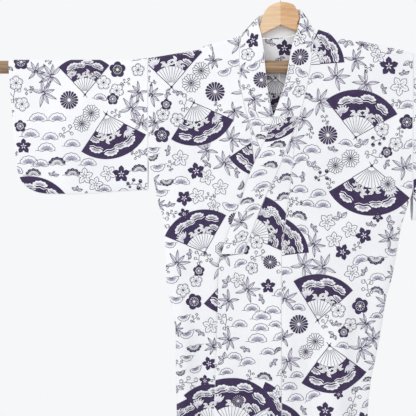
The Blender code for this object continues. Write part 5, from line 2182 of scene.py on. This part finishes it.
def make_rod(material):
    """Turned rod, a little uneven along its length, with its end edges eased."""
    stations = [(-ROD_HALF_LENGTH, 0.9), (-ROD_HALF_LENGTH + 0.0006, 0.965),
                (-ROD_HALF_LENGTH + 0.002, 0.99)]
    for x in spaced(-ROD_HALF_LENGTH + 0.01, ROD_HALF_LENGTH - 0.01, 0.018):
        stations.append((x, 0.992 + 0.006 * math.sin(x * 31.0) * math.sin(x * 17.0 + 1.0)))
    stations += [(-x, size) for x, size in reversed(stations[:3])]
    points = []
    for x, size in stations:
        for i in range(ROD_SIDES):
            angle = 2 * math.pi * i / ROD_SIDES
            wobble = 1.0 - 0.004 * (1.0 + math.sin(3 * angle + x * 9.0))
            reach = ROD_RADIUS * size * wobble
            points.append((x, math.cos(angle) * reach, ROD_HEIGHT + math.sin(angle) * reach))
    item = make_bar("wooden_rod", points, ROD_SIDES, material)
    item.data.set_sharp_from_angle(angle=math.radians(45))
    return item


hook = own(make_tube("wire_hook", hook_path(), WIRE_RADIUS, 16, METAL), ["hook"])
rod = own(make_rod(ROD_WOOD), ["rod"])
print("hook and rod have", len(hook.data.polygons), "and", len(rod.data.polygons), "faces")

# %% [markdown]
# ## Print on each piece
#
# For each piece of cloth, the meshes of print that it carries are counted.

# %% Print on each piece
for piece, flat, area in CUTS:
    pieces_on = on_piece.get(piece.name, [])
    print(piece.name, "carries", len(pieces_on), "layers of print")

# %% [markdown]
# ## Floor and backdrop
#
# The background is pale and even. A wall would catch shadows, so a bright world lights the robe from
# all sides instead, and a plain floor lies below the hem.

# %% Floor and backdrop
floor_material, _, floor_shader = new_material("pale_floor")
floor_shader.inputs["Base Color"].default_value = (0.86, 0.86, 0.87, 1.0)
floor_shader.inputs["Roughness"].default_value = 0.8
FLOOR = HEM - 0.1
FLOOR_HALF = 1.6
corners = [(x * FLOOR_HALF, y * FLOOR_HALF, FLOOR) for x, y in ((-1, -1), (1, -1), (1, 1), (-1, 1))]
floor = link("floor", corners, [(0, 1, 2, 3)], floor_material)
print("floor at", FLOOR, "m")

world = bpy.data.worlds.new("studio")
world.use_nodes = True
world.node_tree.nodes["Background"].inputs["Color"].default_value = (0.925, 0.93, 0.94, 1.0)
world.node_tree.nodes["Background"].inputs["Strength"].default_value = 1.0
bpy.context.scene.world = world
bpy.context.scene.view_settings.view_transform = "Standard"

# %% [markdown]
# ## Lights
#
# White cloth shows its folds only if more light comes from one side. Two large discs do that without
# hard shadows, one in front and a weaker one at the back.

# %% Lights
def soft_light(name, place, target, size, energy):
    data = bpy.data.lights.new(name, "AREA")
    data.shape = "DISK"
    data.size = size
    data.energy = energy
    item = bpy.data.objects.new(name, data)
    item.location = place
    item.rotation_euler = (Vector(target) - Vector(place)).to_track_quat("-Z", "Y").to_euler()
    bpy.context.scene.collection.objects.link(item)


soft_light("key", (-1.9, -2.2, 0.9), (-0.1, 0.0, -0.6), 1.2, 20.0)
soft_light("back_fill", (1.6, 2.4, 0.8), (0.0, 0.0, -0.7), 1.6, 16.0)
print(len(bpy.data.lights), "lights")

# %% [markdown]
# ## Camera
#
# The camera stands straight in front of the picture's middle, and its lens is chosen so that the
# picture is as wide there as the photograph.

# %% Camera
FIELD = PICTURE * METRES_PER_PIXEL
DISTANCE = 2.3
SENSOR = 36.0
BODY_FRONT = 0.018
camera_data = bpy.data.cameras.new("camera")
camera_data.sensor_width = SENSOR
camera_data.lens = SENSOR * DISTANCE / FIELD
print("lens", round(camera_data.lens, 1), "mm")
camera = bpy.data.objects.new("camera", camera_data)
camera.location = (across_at(PICTURE / 2), -DISTANCE - BODY_FRONT, height_at(PICTURE / 2))
camera.rotation_euler = (math.pi / 2, 0.0, 0.0)
bpy.context.scene.collection.objects.link(camera)
bpy.context.scene.camera = camera
